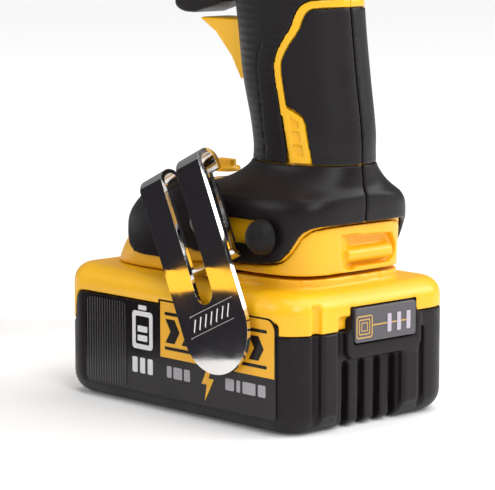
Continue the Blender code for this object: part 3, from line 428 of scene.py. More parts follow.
def arc(u, v, radius, first, last, steps=8):
    """Points on an arc about (u, v), its angles in degrees."""
    turns = [math.radians(first + (last - first) * i / steps) for i in range(steps + 1)]
    return [(u + radius * math.cos(a), v + radius * math.sin(a)) for a in turns]


def rounded(low_u, low_v, high_u, high_v, radius, steps=6):
    """A rectangle with round corners."""
    return (
        arc(high_u - radius, high_v - radius, radius, 0, 90, steps)
        + arc(low_u + radius, high_v - radius, radius, 90, 180, steps)
        + arc(low_u + radius, low_v + radius, radius, 180, 270, steps)
        + arc(high_u - radius, low_v + radius, radius, 270, 360, steps)
    )


def spun(profile, centre, axis, steps=48):
    """A profile of (radius, height) points spun about an axis through centre."""
    bm = bmesh.new()
    corners = [bm.verts.new((r, 0, h)) for r, h in profile]
    edges = [bm.edges.new(pair) for pair in zip(corners, corners[1:])]
    bmesh.ops.spin(
        bm, geom=corners + edges, cent=(0, 0, 0), axis=(0, 0, 1), angle=2 * math.pi,
        steps=steps, use_merge=True,
    )
    bmesh.ops.remove_doubles(bm, verts=bm.verts, dist=0.0005)
    bmesh.ops.recalc_face_normals(bm, faces=bm.faces)
    turn = Vector((0, 0, 1)).rotation_difference(Vector(axis)).to_matrix()
    bmesh.ops.rotate(bm, cent=(0, 0, 0), matrix=turn, verts=bm.verts)
    bmesh.ops.translate(bm, vec=centre, verts=bm.verts)
    return bm


def joined(pieces):
    """Several separate solids as one bmesh."""
    whole = bmesh.new()
    for piece in pieces:
        mesh = bpy.data.meshes.new("work")
        piece.to_mesh(mesh)
        whole.from_mesh(mesh)
        bpy.data.meshes.remove(mesh)
    return whole


# %% Hand a piece over
SIDES = ((-1, "left"), (1, "right"))
FAR = 60.0
CREASE = math.radians(38)
made_pieces = []


def hand_over(bm, name, finish, body, replaced=(), edge=0.0):
    """Scale to metres, shade, dress and fix a finished piece to its body."""
    bmesh.ops.scale(bm, vec=(MM, MM, MM), verts=bm.verts)
    for face in bm.faces:
        face.smooth = True
    for seam in bm.edges:
        if len(seam.link_faces) == 2 and seam.calc_face_angle(0.0) > CREASE:
            seam.smooth = False
    piece = as_object(bm, name)
    bm.free()
    piece.data.materials.append(FINISHES[finish])
    if edge:
        rim = piece.modifiers.new("rounded rim", "BEVEL")
        rim.width = edge * MM
        rim.segments = 3
        rim.limit_method = "ANGLE"
        rim.angle_limit = CREASE
    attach(piece, body)
    if replaced:
        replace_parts(piece, *replaced)
    made_pieces.append(piece)
    print(name, len(piece.data.polygons), "faces")


def hand_over_pair(make, name, finish, node=None):
    """Make a mirrored pair of the tool's pieces, left and right."""
    for side, word in SIDES:
        replaced = [node + "_" + word] if node else []
        hand_over(make(side), name + "_" + word, finish, "tool", replaced)


def reach(side, near, far=FAR):
    """The stretch from near to far on one side of the middle plane, lowest first."""
    return sorted((side * near, side * far))


# %% [markdown]
# ## The two master forms
#
# The foot and handle are one swept body, and so is the head. Each is a table of sections: a
# height, where the section starts and ends, how wide it is and how square. A smooth curve
# through the table gives rows close enough together to look moulded. Every shell, rubber
# skin and inset stripe is then this same form, grown or shrunk by its own offset and cut to
# its own outline, so that everything fits everything else.

# %% Section tables
SKIN = 1.8
SKIN_GAP = 0.3
WALL = 2.4
FOOT_Z = 46.7
GRIP_SECTIONS = [
    (FOOT_Z, -50.0, 50.5, 28.0, 5.0),
    (51.0, -48.0, 51.0, 28.0, 5.0),
    (58.0, -43.8, 51.6, 27.4, 5.0),
    (65.7, -40.3, 52.3, 28.0, 4.6),
    (72.5, -33.5, 53.0, 27.8, 4.2),
    (75.5, -26.0, 53.0, 26.4, 3.8),
    (76.8, -12.0, 52.9, 25.0, 3.3),
    (79.6, -0.7, 51.7, 22.2, 2.6),
    (83.0, 5.5, 51.3, 18.5, 2.3),
    (86.8, 8.5, 50.9, 16.2, 2.1),
    (97.0, 8.2, 50.6, 16.2, 2.1),
    (115.0, 3.6, 48.0, 16.5, 2.1),
    (133.8, 0.8, 45.6, 16.5, 2.1),
    (160.0, -3.5, 43.0, 17.0, 2.2),
    (180.0, -9.5, 43.0, 18.0, 2.4),
    (195.0, -16.0, 44.0, 20.0, 2.6),
    (206.0, -16.0, 44.0, 20.0, 2.6),
]
HEAD_SECTIONS = [
    (-150.0, 226.0, 18.0, 17.5, 4.0),
    (-135.0, 226.0, 20.5, 19.5, 4.0),
    (-105.0, 226.0, 30.0, 24.5, 4.0),
    (-80.0, 226.5, 38.0, 29.0, 4.5),
    (-40.0, 227.5, 42.5, 31.0, 5.5),
    (20.0, 228.5, 43.5, 31.5, 5.5),
    (48.0, 229.0, 43.0, 31.0, 5.5),
    (62.0, 229.0, 40.0, 29.0, 4.5),
    (69.0, 229.0, 34.0, 24.0, 3.2),
    (71.0, 229.0, 26.0, 18.0, 3.0),
]
ROUND_STEPS = 132


def between(sections, spacing):
    """Rows through the sections, about spacing apart, on a smooth curve."""
    rows = [sections[0]]
    for i in range(len(sections) - 1):
        a = sections[i]
        b = sections[i + 1]
        before = sections[max(i - 1, 0)]
        after = sections[min(i + 2, len(sections) - 1)]
        length = math.dist(a[:3], b[:3])
        slope_a = [(q - p) / max(math.dist(before[:3], b[:3]), 1e-6) * length
                   for p, q in zip(before, b)]
        slope_b = [(q - p) / max(math.dist(a[:3], after[:3]), 1e-6) * length
                   for p, q in zip(a, after)]
        count = max(int(length / spacing), 1)
        for step in range(1, count + 1):
            t = step / count
            weights = (
                2 * t ** 3 - 3 * t ** 2 + 1, t ** 3 - 2 * t ** 2 + t,
                3 * t ** 2 - 2 * t ** 3, t ** 3 - t ** 2,
            )
            rows.append([
                weights[0] * p + weights[1] * u + weights[2] * q + weights[3] * v
                for p, u, q, v in zip(a, slope_a, b, slope_b)
            ])
    return rows


def swept(rings):
    """Bridge a stack of rings, each a function that bends a unit circle to its shape."""
    bm = bmesh.new()
    loops = []
    for shape in rings:
        ring = bmesh.ops.create_circle(bm, segments=ROUND_STEPS, radius=1.0)["verts"]
        for vert in ring:
            vert.co = shape(vert.co.x, vert.co.y)
        loops.append([e for e in {e for v in ring for e in v.link_edges}])
    for low, high in zip(loops, loops[1:]):
        bmesh.ops.bridge_loops(bm, edges=low + high)
    bmesh.ops.holes_fill(bm, edges=loops[0] + loops[-1], sides=0)
    bmesh.ops.recalc_face_normals(bm, faces=bm.faces)
    return bm


def squared(c, s, squareness):
    power = 2 / squareness
    return math.copysign(abs(c) ** power, c), math.copysign(abs(s) ** power, s)


def grip_form(offset, low=None, spacing=1.6):
    rows = between(GRIP_SECTIONS, spacing)
    if low is not None:
        rows.insert(0, [low, *rows[0][1:]])

    def ring(row):
        z, front, rear, half, squareness = row

        def shape(c, s):
            u, v = squared(c, s, squareness)
            reach = (rear - front) / 2 + offset
            return Vector(((front + rear) / 2 + u * reach, v * (half + offset), z))
        return shape
    return swept([ring(row) for row in rows])


def head_form(offset, first=0, last=None, spacing=2.5):
    rows = between(HEAD_SECTIONS[first:last], spacing)
    rows[0] = [rows[0][0] - offset, *rows[0][1:]]
    rows[-1] = [rows[-1][0] + offset, *rows[-1][1:]]

    def ring(row):
        x, z, half_z, half_y, squareness = row

        def shape(c, s):
            u, v = squared(c, s, squareness)
            return Vector((x, u * (half_y + offset), z + v * (half_z + offset)))
        return shape
    return swept([ring(row) for row in rows])


SKIN_INNER = grip_form(SKIN_GAP, low=30.0)
FORM = grip_form(0.0)
HOLLOW = grip_form(-WALL, low=30.0)
print("handle form:", len(FORM.faces), "faces, volume", round(FORM.calc_volume() / 1000), "ml")
# %% [markdown]
# ## The battery pack
#
# The pack is one block with round corners, split into a black tub and a yellow lid along a
# line that steps down at the corners. Cutting both halves from the same block with the same
# stepped outline keeps the seam true all round. The rear face carries two upright posts, a
# field of four cooling slots that curl under the bottom edge, and a bezel for the gauge.

# %% The block and its seam
tub_low, tub_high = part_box("battery_lower_case")
PACK_X = (tub_high.x - tub_low.x) / MM
PACK_Y = (tub_high.y - tub_low.y) / MM
REAR = PACK_X / 2
SIDE = PACK_Y / 2
SEAM_Z = tub_high.z / MM
SHOULDER_Z = 46.4
PACK_CORNER = 12.0
SEAM_GAP = 0.3
PLATEAU_FRONT = 18.3
PLATEAU_Z = 49.6
POSTS = [(-25.0, -17.0), (13.0, 21.5)]
SLOT_CENTRES = [-11.8, -4.2, 3.3, 10.6]
SLOT_WIDTH = 3.0
PACK_WALL = 2.5
CAVITY_TOP = 41.5
WELL_LOW = 44.0
WELL_X = 33.0
WELL_R = 4.2
RAIL_FRONT = -38.0
RAIL_Y = 14.5
RAIL_HALF = 2.5
RAIL_TOP = PLATEAU_Z - 0.4
RELIEF = 2.0
BEZEL_GAP = (-11.3, 19.6, 41.2)


def pack_block(grow=0.0):
    bm = block((-REAR - grow, -SIDE - grow, -grow), (REAR + grow, SIDE + grow, SHOULDER_Z))
    upright = [e for e in bm.edges if abs(e.verts[0].co.z - e.verts[1].co.z) > 1]
    round_over(bm, upright, PACK_CORNER, 12)
    top = [e for e in bm.edges if min(v.co.z for v in e.verts) > SHOULDER_Z - 0.01]
    round_over(bm, top, 6.5, 8)
    bottom = [e for e in bm.edges if max(v.co.z for v in e.verts) < 0.01]
    return round_over(bm, bottom, 7.5, 8)


def lid_region(gap):
    """What belongs to the lid: all above the seam, and the corners below it."""
    far = 80.0
    low = SEAM_Z + gap
    front = (
        [(-far, 26.0 + gap), (-54.2, 26.0 + gap)]
        + arc(-54.2, 28.0 + gap, 2.0, -90, 0, 4)
        + [(-51.4, 33.0 + gap)] + arc(-47.0, 32.8 + gap, 4.4, 165, 90, 5)
        + [(-40.0, low), (-far, low)]
    )
    pieces = [block((-far, -far, low), (far, far, far))]
    for side in (-1, 1):
        pieces.append(slab(front, *reach(side, 24.0, far)))
    near = [(-far, 33.0 + gap), (-11.6, 33.0 + gap), (-11.6, low + 1), (-far, low + 1)]
    other = [(20.0, 36.0 + gap), (far, 36.0 + gap), (far, low + 1), (20.0, low + 1)]
    pieces.append(slab(near, 51.6, far, "rear"))
    pieces.append(slab(other, 54.0, far, "rear"))
    whole = pieces[0]
    for piece in pieces[1:]:
        combine(whole, piece, "UNION")
    low, high, top = BEZEL_GAP
    return cut(whole, block((50.0, low, 20.0), (far, high, top - gap)))


def rear_relief():
    """Grooves beside the posts, the slot field and the slots."""
    skin = REAR - RELIEF
    tools = [
        block((skin, POSTS[0][0] - 3.6, -5), (80, POSTS[0][0], 43.0)),
        block((skin, POSTS[0][1], -5), (80, -11.4, 38.0)),
        block((skin - 0.3, -16.0, -5), (80, POSTS[1][0], 23.4)),
        block((skin, POSTS[1][1], -5), (80, POSTS[1][1] + 2.2, 31.0)),
    ]
    profile = [
        (80, 22.4), (REAR - 4.6, 22.4), (REAR - 5.6, 20.0), (REAR - 5.6, 9.0),
        (REAR - 6.5, 4.5), (REAR - 9.0, 2.4), (REAR - 17.0, 2.0), (REAR - 17.0, -5), (80, -5),
    ]
    for y in SLOT_CENTRES:
        tools.append(slab(profile, y - SLOT_WIDTH / 2, y + SLOT_WIDTH / 2))
    return tools


def side_relief():
    """A shallow bed for the label and a darker slot behind it, on both sides."""
    tools = []
    bed = rounded(-46.6, 4.4, 52.0, SEAM_Z + 2.4, 4.0)
    slot = rounded(52.6, 8.0, 55.4, SEAM_Z - 0.5, 0.8)
    for side in (-1, 1):
        tools.append(slab(bed, *reach(side, (SIDE - 0.45))))
        tools.append(slab(slot, *reach(side, (SIDE - 2.0))))
    return tools


def pack_cavity(low, high):
    """The room for the cells, shared by the tub and the lid."""
    outline = rounded(PACK_WALL - REAR, PACK_WALL - SIDE, 50.5, SIDE - PACK_WALL, 9.0)
    return slab(outline, low, high, "top")


# %% Black tub
def make_tub():
    bm = pack_block()
    combine(bm, lid_region(0.0))
    cut(bm, *rear_relief(), *side_relief())
    for low_y, high_y in POSTS:
        centre = (low_y + high_y) / 2
        ring = arc(REAR - 1.6, centre, (high_y - low_y) / 2 - 0.4, -90, 90, 10)
        post = slab(ring, 5.5, 40.0, "top")
        combine(post, pack_block(0.5), "INTERSECT")
        combine(bm, combine(post, lid_region(0.0)), "UNION")
    frame_out = rounded(-13.6, 23.6, 21.8, 48.0, 3.0)
    lip = slab(frame_out, REAR - 3.0, REAR + 0.7, "rear")
    combine(lip, lid_region(0.0))
    combine(bm, lip, "UNION")
    cut(bm, slab(rounded(-10.9, 28.2, 19.1, 60.0, 1.2), REAR - 1.0, 80, "rear"))
    soften(bm, 0.62, 3)
    return cut(bm, pack_cavity(2.6, FAR))


hand_over(make_tub(), "battery_tub", "black shell", "battery", ["battery_lower_case"])


# %% Yellow lid with its rails and plateau
def make_lid():
    bm = pack_block()
    combine(bm, lid_region(SEAM_GAP), "INTERSECT")
    cut(bm, *rear_relief()[:2], *side_relief()[::2])
    plateau = grip_form(0.0, low=SHOULDER_Z - 2.0)
    keep = block((PLATEAU_FRONT, -FAR, SHOULDER_Z - 1.0), (FAR, FAR, PLATEAU_Z))
    combine(plateau, keep, "INTERSECT")
    cut(plateau, block((50.2, 5.2, 46.9), (FAR, 11.2, FAR)))
    combine(bm, plateau, "UNION")
    step = rounded(-6.0, -24.0, 26.0, 24.0, 6.0)
    combine(bm, slab(step, SHOULDER_Z - 2, 48.2, "top"), "UNION")
    for side in (-1, 1):
        low, high = side * RAIL_Y - RAIL_HALF, side * RAIL_Y + RAIL_HALF
        rail = block((RAIL_FRONT, low, 44.0), (PLATEAU_FRONT + 2, high, RAIL_TOP))
        combine(bm, rail, "UNION")
    soften(bm, 0.62, 4)
    well = spun(
        [(0, 0), (WELL_R, 0), (WELL_R, 12), (0, 12)], (WELL_X, 0, WELL_LOW), (0, 0, 1))
    return cut(bm, pack_cavity(30.0, CAVITY_TOP), well)


hand_over(make_lid(), "battery_lid", "yellow shell", "battery", ["battery_upper_case"])

# %% [markdown]
# ## The charge gauge and the side labels
#
# The gauge is a dark plate pressed into the bezel, with a square button, a line and three
# bars. The labels are thin films laid in a shallow bed. Both carry only generic signs here: a
# battery outline, bars, chevrons and a lightning bolt. Each sign is a flat outline with the
# thickness of ink, so its edge stays crisp at any distance.

# %% Flat signs with the thickness of ink
def wide_line(points, half):
    """A closed outline of a given half width about an open line of points."""
    left = []
    right = []
    for i, point in enumerate(points):
        before = Vector(points[max(i - 1, 0)])
        after = Vector(points[min(i + 1, len(points) - 1)])
        along = (after - before).normalized()
        left.append((point[0] - along.y * half, point[1] + along.x * half))
        right.append((point[0] + along.y * half, point[1] - along.x * half))
    return left + right[::-1]


def square_about(centre, half, corner):
    u, v = centre
    return rounded(u - half, v - half, u + half, v + half, corner)


def hollow_frame(outer, inner, low, high, plane):
    return cut(slab(outer, low, high, plane), slab(inner, low - 1, high + 1, plane))


# %% Gauge plate and its signs
gauge_low, gauge_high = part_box("charge_gauge")
GAUGE_FACE = gauge_high.x / MM
GAUGE_Y = (gauge_low.y + gauge_high.y) / 2 / MM
GAUGE_Z = (gauge_low.z + gauge_high.z) / 2 / MM
INK = 0.12


def make_gauge():
    half_y = (gauge_high.y - gauge_low.y) / 2 / MM - 0.3
    half_z = (gauge_high.z - gauge_low.z) / 2 / MM - 0.2
    outline = rounded(GAUGE_Y - half_y, GAUGE_Z - half_z, GAUGE_Y + half_y, GAUGE_Z + half_z, 1.0)
    plate = slab(outline, REAR - 0.9, GAUGE_FACE - 0.5, "rear")
    hand_over(
        plate, "gauge_plate", "grey plastic", "battery", ["charge_gauge"], edge=0.35)
    face = GAUGE_FACE - 0.5
    button = (GAUGE_Y - 10.4, GAUGE_Z - 0.6)
    signs = []
    for size, wall, corner in ((7.6, 0.42, 1.0), (5.2, 0.36, 0.5), (3.0, 0.3, 0.2)):
        half = size / 2
        outer = square_about(button, half, corner)
        inner = square_about(button, half - wall, corner * 0.6)
        signs.append(hollow_frame(outer, inner, face - 0.05, face + INK, "rear"))
    line = wide_line([(button[0] + 3.9, GAUGE_Z - 0.4), (GAUGE_Y + 11.8, GAUGE_Z - 0.4)], 0.22)
    signs.append(slab(line, face - 0.05, face + INK, "rear"))
    hand_over(joined(signs), "gauge_outline", "print gold", "battery")
    bars = []
    for y in (1.4, 6.0, 10.6):
        outline = rounded(GAUGE_Y + y - 0.9, GAUGE_Z - 3.5, GAUGE_Y + y + 0.9, GAUGE_Z + 2.7, 0.4)
        bars.append(slab(outline, face - 0.05, face + INK + 0.1, "rear"))
    hand_over(joined(bars), "gauge_bars", "print lilac", "battery")


make_gauge()

# %% Side labels
LABEL_LEFT = -45.5
LABEL_RIGHT = 51.6
LABEL_LOW = 5.4
LABEL_TOP = 39.0
FILM = 0.25
DASHES = [(-2.0, 2.4), (1.4, 4.4), (6.8, 3.0), (27.5, 4.2), (32.9, 1.8), (35.9, 6.2), (43.3, 3.6)]


def battery_sign(x, z, width, height):
    """An upright battery outline with a cap and a filled lower half."""
    outer = rounded(x, z, x + width, z + height, 1.4)
    inner = rounded(x + 1.7, z + 1.7, x + width - 1.7, z + height - 1.7, 0.6)
    cap = rounded(x + width * 0.3, z + height + 0.5, x + width * 0.7, z + height + 2.1, 0.4)
    bars = [
        rounded(x + 2.8, z + 2.8 + 3.2 * i, x + width - 2.8, z + 4.9 + 3.2 * i, 0.3)
        for i in range(2)
    ]
    return outer, inner, [cap, *bars]


def chevron(x, z, width, height, lean):
    half = height / 2
    return [
        (x, z - half), (x + width, z - half), (x + width + lean, z),
        (x + width, z + half), (x, z + half), (x + lean, z),
    ]


def bolt(x, z, size):
    shape = [(0.1, 1.0), (-0.45, -0.12), (-0.05, -0.12), (-0.2, -1.0), (0.5, 0.22), (0.08, 0.22),
             (0.42, 1.0)]
    return [(x + u * size, z + v * size) for u, v in shape]


def make_label(side, word):
    bed = SIDE - 0.45

    def film(outline, low, high):
        return slab(outline, *reach(side, bed + low, bed + high))

    def ink(outline):
        return film(outline, FILM - 0.02, FILM + INK)

    def give(pieces, name, finish):
        hand_over(
            joined(pieces), "label_" + name + "_" + word, finish, "battery")

    base = (
        arc(LABEL_RIGHT - 4, 35.0, 4, 0, 90) + [(-6.4, LABEL_TOP), (-6.4, SEAM_Z - 0.5)]
        + arc(LABEL_LEFT + 3, SEAM_Z - 3.5, 3, 90, 180)
        + arc(LABEL_LEFT + 3, LABEL_LOW + 3, 3, 180, 270)
        + arc(LABEL_RIGHT - 1, LABEL_LOW + 1, 1, 270, 360)
    )
    give([film(base, 0.0, FILM)], "film", "label film")
    rib = rounded(LABEL_LEFT + 0.8, LABEL_LOW + 0.8, -23.0, SEAM_Z - 1.2, 2.2)
    give([film(rib, FILM - 0.02, FILM + 0.1)], "ribs", "ribbed film")
    panel = (
        arc(LABEL_RIGHT - 4.4, 34.6, 3.8, 0, 90)
        + [(-5.3, 38.4), (-5.3, 19.2), (LABEL_RIGHT - 0.6, 19.2)]
    )
    give([film(panel, FILM - 0.02, FILM + 0.08)], "panel", "print yellow")
    outer, inner, marks = battery_sign(-20.0, 20.4, 10.6, 13.2)
    white = [cut(ink(outer), film(inner, 0.0, 1.0))]
    white += [ink(mark) for mark in marks]
    white += [ink(rounded(x, 12.0, x + 2.6, 17.4, 0.5)) for x in (-20.0, -16.0, -12.0)]
    give(white, "battery", "print white")
    dark = [film(rounded(-3.0, z, 47.5, z + 1.1, 0.3), FILM, FILM + 0.16) for z in (33.9, 22.0)]
    dark += [
        film(chevron(-2.6 + 8.3 * i, 28.5, 4.6, 8.2, 2.6), FILM, FILM + 0.16) for i in range(6)]
    give(dark, "chevrons", "print black")
    grey = [ink(rounded(x, 12.4, x + width, 16.4, 0.5)) for x, width in DASHES]
    give(grey, "dashes", "print grey")
    give([ink(bolt(18.6, 13.6, 6.4))], "bolt", "print yellow")


for side, word in SIDES:
    make_label(side, word)

# %% [markdown]
# ## The release button
#
# The rear of the foot is a yellow button that is pressed down to free the pack. It follows
# the foot's own form, so it is that form cut to the button's outline. A finger hold is sunk
# into its back: a slope at the left, a hollow above, and a round bar to press on.

# %% Button
RIM_START = 53.0
RIM_LINE = [
    (24.0, 53.3), (33.0, 53.9), (38.6, 54.6), (41.2, 55.6), (43.8, 58.2), (45.6, 60.9),
    (47.2, 63.8), (48.6, 65.4), (50.0, 66.4), (52.0, 67.2), (60.0, 67.6),
]
BUTTON_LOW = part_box("release_button")[0].z / MM


def make_button():
    outline = (
        [(PLATEAU_FRONT + 0.3, BUTTON_LOW), (PLATEAU_FRONT + 0.3, RIM_START - 0.3)]
        + [(x, z - 0.3) for x, z in RIM_LINE] + [(60.0, BUTTON_LOW)]
    )
    bm = grip_form(0.0)
    combine(bm, slab(outline, -FAR, FAR), "INTERSECT")
    slope = slab([(60, -10.6), (52.2, -10.6), (48.0, -1.2), (60, -1.2)], 51.8, 64.0, "top")
    hollow = slab(
        [(-1.6, 52.6)] + arc(14.4, 57.0, 4.4, -90, 20, 8) + [(15.6, 62.6), (-1.6, 63.6)],
        48.0, 60, "rear")
    cut(bm, slope, hollow)
    bar = slab(arc(49.6, 56.6, 2.4, -100, 100, 12) + [(46.5, 59.0), (46.5, 54.2)], -5.5, 15.8)
    combine(bm, bar, "UNION")
    return soften(bm, 0.5, 4)


hand_over(make_button(), "thumb_button", "yellow shell", "release", ["release_button"])
# %% [markdown]
# ## The foot, its rubber cover and the handle skins
#
# The shell's lower end is a yellow foot with a sloping front. A rubber cover wraps it and
# flares down from the neck, and three more skins wrap the handle: one at the front for the
# fingers and two behind for the palm. Each skin is the space between two sizes of the same
# form, cut to its outline and then softened, which gives the rolled edges of real overmould.

# %% Yellow foot
SEAM_HALF = 0.15
FOOT_TOP = 88.0


def bay_tool():
    outline = (
        [(PLATEAU_FRONT - 0.3, 40.0), (PLATEAU_FRONT - 0.3, RIM_START + 0.3)]
        + [(x, z + 0.3) for x, z in RIM_LINE] + [(62.0, 40.0)]
    )
    return slab(outline, -FAR, FAR)


COVER_EDGE = [
    (-46.0, 66.4), (-40.0, 66.4), (-38.0, 61.0), (-36.4, 57.0), (-34.0, 53.8), (-31.0, 52.0),
    (-28.0, 51.4), (4.0, 51.4), (14.0, 52.3), (20.0, 53.0), (60.0, 53.0),
]
COLLAR_Z = 87.0


def groove(line, half, depth, size=0.0):
    """A narrow tool that follows a line on the side of the form, sunk by depth."""
    tool = slab(wide_line(line, half), -FAR, FAR)
    return combine(tool, grip_form(size - depth))


def make_foot(side):
    bm = grip_form(0.0)
    low, high = reach(side, SEAM_HALF)
    combine(bm, block((-60, low, 40), (60, high, FOOT_TOP)), "INTERSECT")
    cut(bm, bay_tool())
    rim = [(-46.5, 63.0), (-42.0, 60.0), (-39.6, 54.4), (-36.0, 50.6), (-30.0, 49.0), (14.0, 48.8)]
    cut(bm, groove(rim, 0.35, 0.7))
    soften(bm, 0.55, 4)
    return cut(bm, HOLLOW)


hand_over_pair(make_foot, "foot_shell", "yellow shell", "housing")


# %% Rubber cover over the foot
WINDOW = rounded(8.0, 60.5, 33.5, 68.6, 2.0)


def make_cover(side):
    bm = cut(grip_form(SKIN), SKIN_INNER)
    low, high = reach(side, SEAM_HALF)
    outline = COVER_EDGE + [(60.0, COLLAR_Z - 0.3), (-46.0, COLLAR_Z - 0.3)]
    combine(bm, slab(outline, low, high), "INTERSECT")
    cut(bm, bay_tool())
    if side < 0:
        cut(bm, slab(WINDOW, -60, 0))
    return soften(bm, 0.5, 7)


hand_over_pair(make_cover, "foot_rubber", "smooth rubber", "foot_cover")

# %% Stripe, side panel and finger strip
STRIPE = [
    (70.0, 140.2), (42.0, 140.2), (38.6, 138.8), (37.0, 135.6), (36.0, 131.5),
    (32.8, 127.0), (29.8, 121.2), (30.2, 116.3), (32.0, 108.1), (33.0, 103.0),
]
STRIPE_HALF = 1.25
PANEL = [(31.9, 106.4), (37.6, 103.8), (39.6, 102.4), (40.6, 100.5), (43.0, 87.4), (35.4, 87.4)]
PANEL_CELLS = [
    [(35.0, 102.6), (38.2, 101.2), (38.7, 98.8), (35.6, 98.8)],
    [(35.7, 97.9), (38.9, 97.9), (39.6, 94.3), (36.3, 94.3)],
    [(36.4, 93.4), (39.8, 93.4), (40.4, 89.6), (37.0, 89.6)],
]
FINGER_STRIP = [
    (8, 113.0), (0.5, 113.0), (-4.5, 121.0), (-12.0, 128.4), (-19.6, 132.4), (-20, 133.4),
    (8, 133.4),
]
FINGER_HALF = 7.0


def rounded_line(points, passes=2):
    """Cut the corners of an open line so that it flows."""
    for _ in range(passes):
        flowing = [points[0]]
        for a, b in zip(points, points[1:]):
            flowing.append((a[0] * 0.75 + b[0] * 0.25, a[1] * 0.75 + b[1] * 0.25))
            flowing.append((a[0] * 0.25 + b[0] * 0.75, a[1] * 0.25 + b[1] * 0.75))
        points = flowing + [points[-1]]
    return points


def make_trim():
    band = slab(wide_line(rounded_line(STRIPE), STRIPE_HALF), -FAR, FAR)
    panel = slab(PANEL, -FAR, FAR)
    raised = grip_form(SKIN - 0.1)
    combine(band, raised, "INTERSECT")
    combine(panel, raised, "INTERSECT")
    sunk = grip_form(SKIN - 1.1)
    for cell in PANEL_CELLS:
        cut(panel, combine(slab(cell, -FAR, FAR), sunk))
    combine(band, panel, "UNION")
    cut(band, grip_form(-0.4))
    soften(band, 0.36, 3)
    return cut(band, block((-60, -SEAM_HALF, 60), (80, SEAM_HALF, 150)))


hand_over(
    make_trim(), "grip_trim", "yellow shell", "tool", ["housing_left", "housing_right"])


def make_finger_strip():
    bm = slab(FINGER_STRIP, -FINGER_HALF, FINGER_HALF)
    cut(bm, grip_form(-1.0))
    return soften(bm, 0.5, 4)


hand_over(
    make_finger_strip(), "finger_strip", "yellow shell", "tool",
    ["housing_left", "housing_right"])

# %% Handle skins
GRIP_TOP = 176.0
PANEL_CLEAR = [
    (30.6, 107.6), (38.0, 104.3), (40.1, 102.8), (41.1, 100.7), (43.5, 86.0), (34.8, 86.0),
]
RIDGE = [(32.0, 150.0), (28.4, 137.9), (20.0, 121.4), (20.8, 115.8), (22.4, 102.0), (24.3, 84.0)]
DOT_ROW = [(-6.9 + 0.42 * i, 132.6 - 3.35 * i) for i in range(9)]


def grip_blank():
    bm = cut(grip_form(SKIN), SKIN_INNER)
    clear = slab(wide_line(rounded_line(STRIPE), STRIPE_HALF + 0.3), -FAR, FAR)
    return cut(bm, clear, slab(PANEL_CLEAR, -FAR, FAR))


def make_palm(side):
    bm = grip_blank()
    outline = rounded_line(STRIPE)[:-1] + [
        (36.5, 105.4), (41.0, 101.0), (43.2, COLLAR_Z), (70.0, COLLAR_Z)]
    combine(bm, slab(outline, *reach(side, SEAM_HALF)), "INTERSECT")
    return soften(bm, 0.5, 4)


hand_over_pair(make_palm, "palm", "palm rubber", "grip")


def make_finger_grip():
    bm = grip_blank()
    outline = (
        [(-60.0, COLLAR_Z), (34.0, COLLAR_Z)] + rounded_line(STRIPE)[::-1]
        + [(70.0, GRIP_TOP), (-60.0, GRIP_TOP)]
    )
    combine(bm, slab(outline, -FAR, FAR), "INTERSECT")
    half = FINGER_HALF + 0.3
    bracket = block((-30, -half, 112.7), (8, half, 190))
    trigger_space = block((-40, -8.6, 133.4), (8, 8.6, 190))
    ridge = groove(rounded_line(RIDGE), 0.45, 0.7, SKIN)
    cut(bm, bracket, trigger_space, ridge)
    soften(bm, 0.5, 3)
    dots = []
    for x, z in DOT_ROW:
        for side in (-1, 1):
            dot = bmesh.new()
            bmesh.ops.create_icosphere(dot, subdivisions=2, radius=0.62)
            bmesh.ops.translate(dot, vec=(x + 3.1, side * 8.5, z), verts=dot.verts)
            dots.append(dot)
    return cut(bm, joined(dots))


hand_over(make_finger_grip(), "finger_grip", "finger rubber", "tool", ["grip_front"])

# %% [markdown]
# ## Belt hook, bumper knob and trigger
#
# The belt hook is one strip of steel, folded over at its crest, slotted and chromed. Its
# profile is drawn once as a bent strip and given the strip's width, then the round tip, the
# slot and the narrower back leg are cut. Only a fine rim bevel follows, because a polished
# edge is what catches the light. The small shapes pressed into its tip are plain bars.

# %% Belt hook
HOOK_X = 25.9
HOOK_Z = 34.0
HOOK_LEAN = math.radians(25.0)
HOOK_W = 32.4
HOOK_T = 1.5
HOOK_DEPTH = 9.0
HOOK_OUT = -42.5
HOOK_CREST = 57.0
HOOK_SLOT = 8.4
HOOK_BACK_LOW = 21.5
HOOK_SCREW = 36.0


def lean(bm):
    """Turn from the hook's own upright drawing to where it hangs."""
    turn = Matrix.Rotation(-HOOK_LEAN, 3, "Y")
    bmesh.ops.rotate(bm, cent=(0, 0, 0), matrix=turn, verts=bm.verts)
    bmesh.ops.translate(bm, vec=(HOOK_X, 0, HOOK_Z), verts=bm.verts)
    return bm


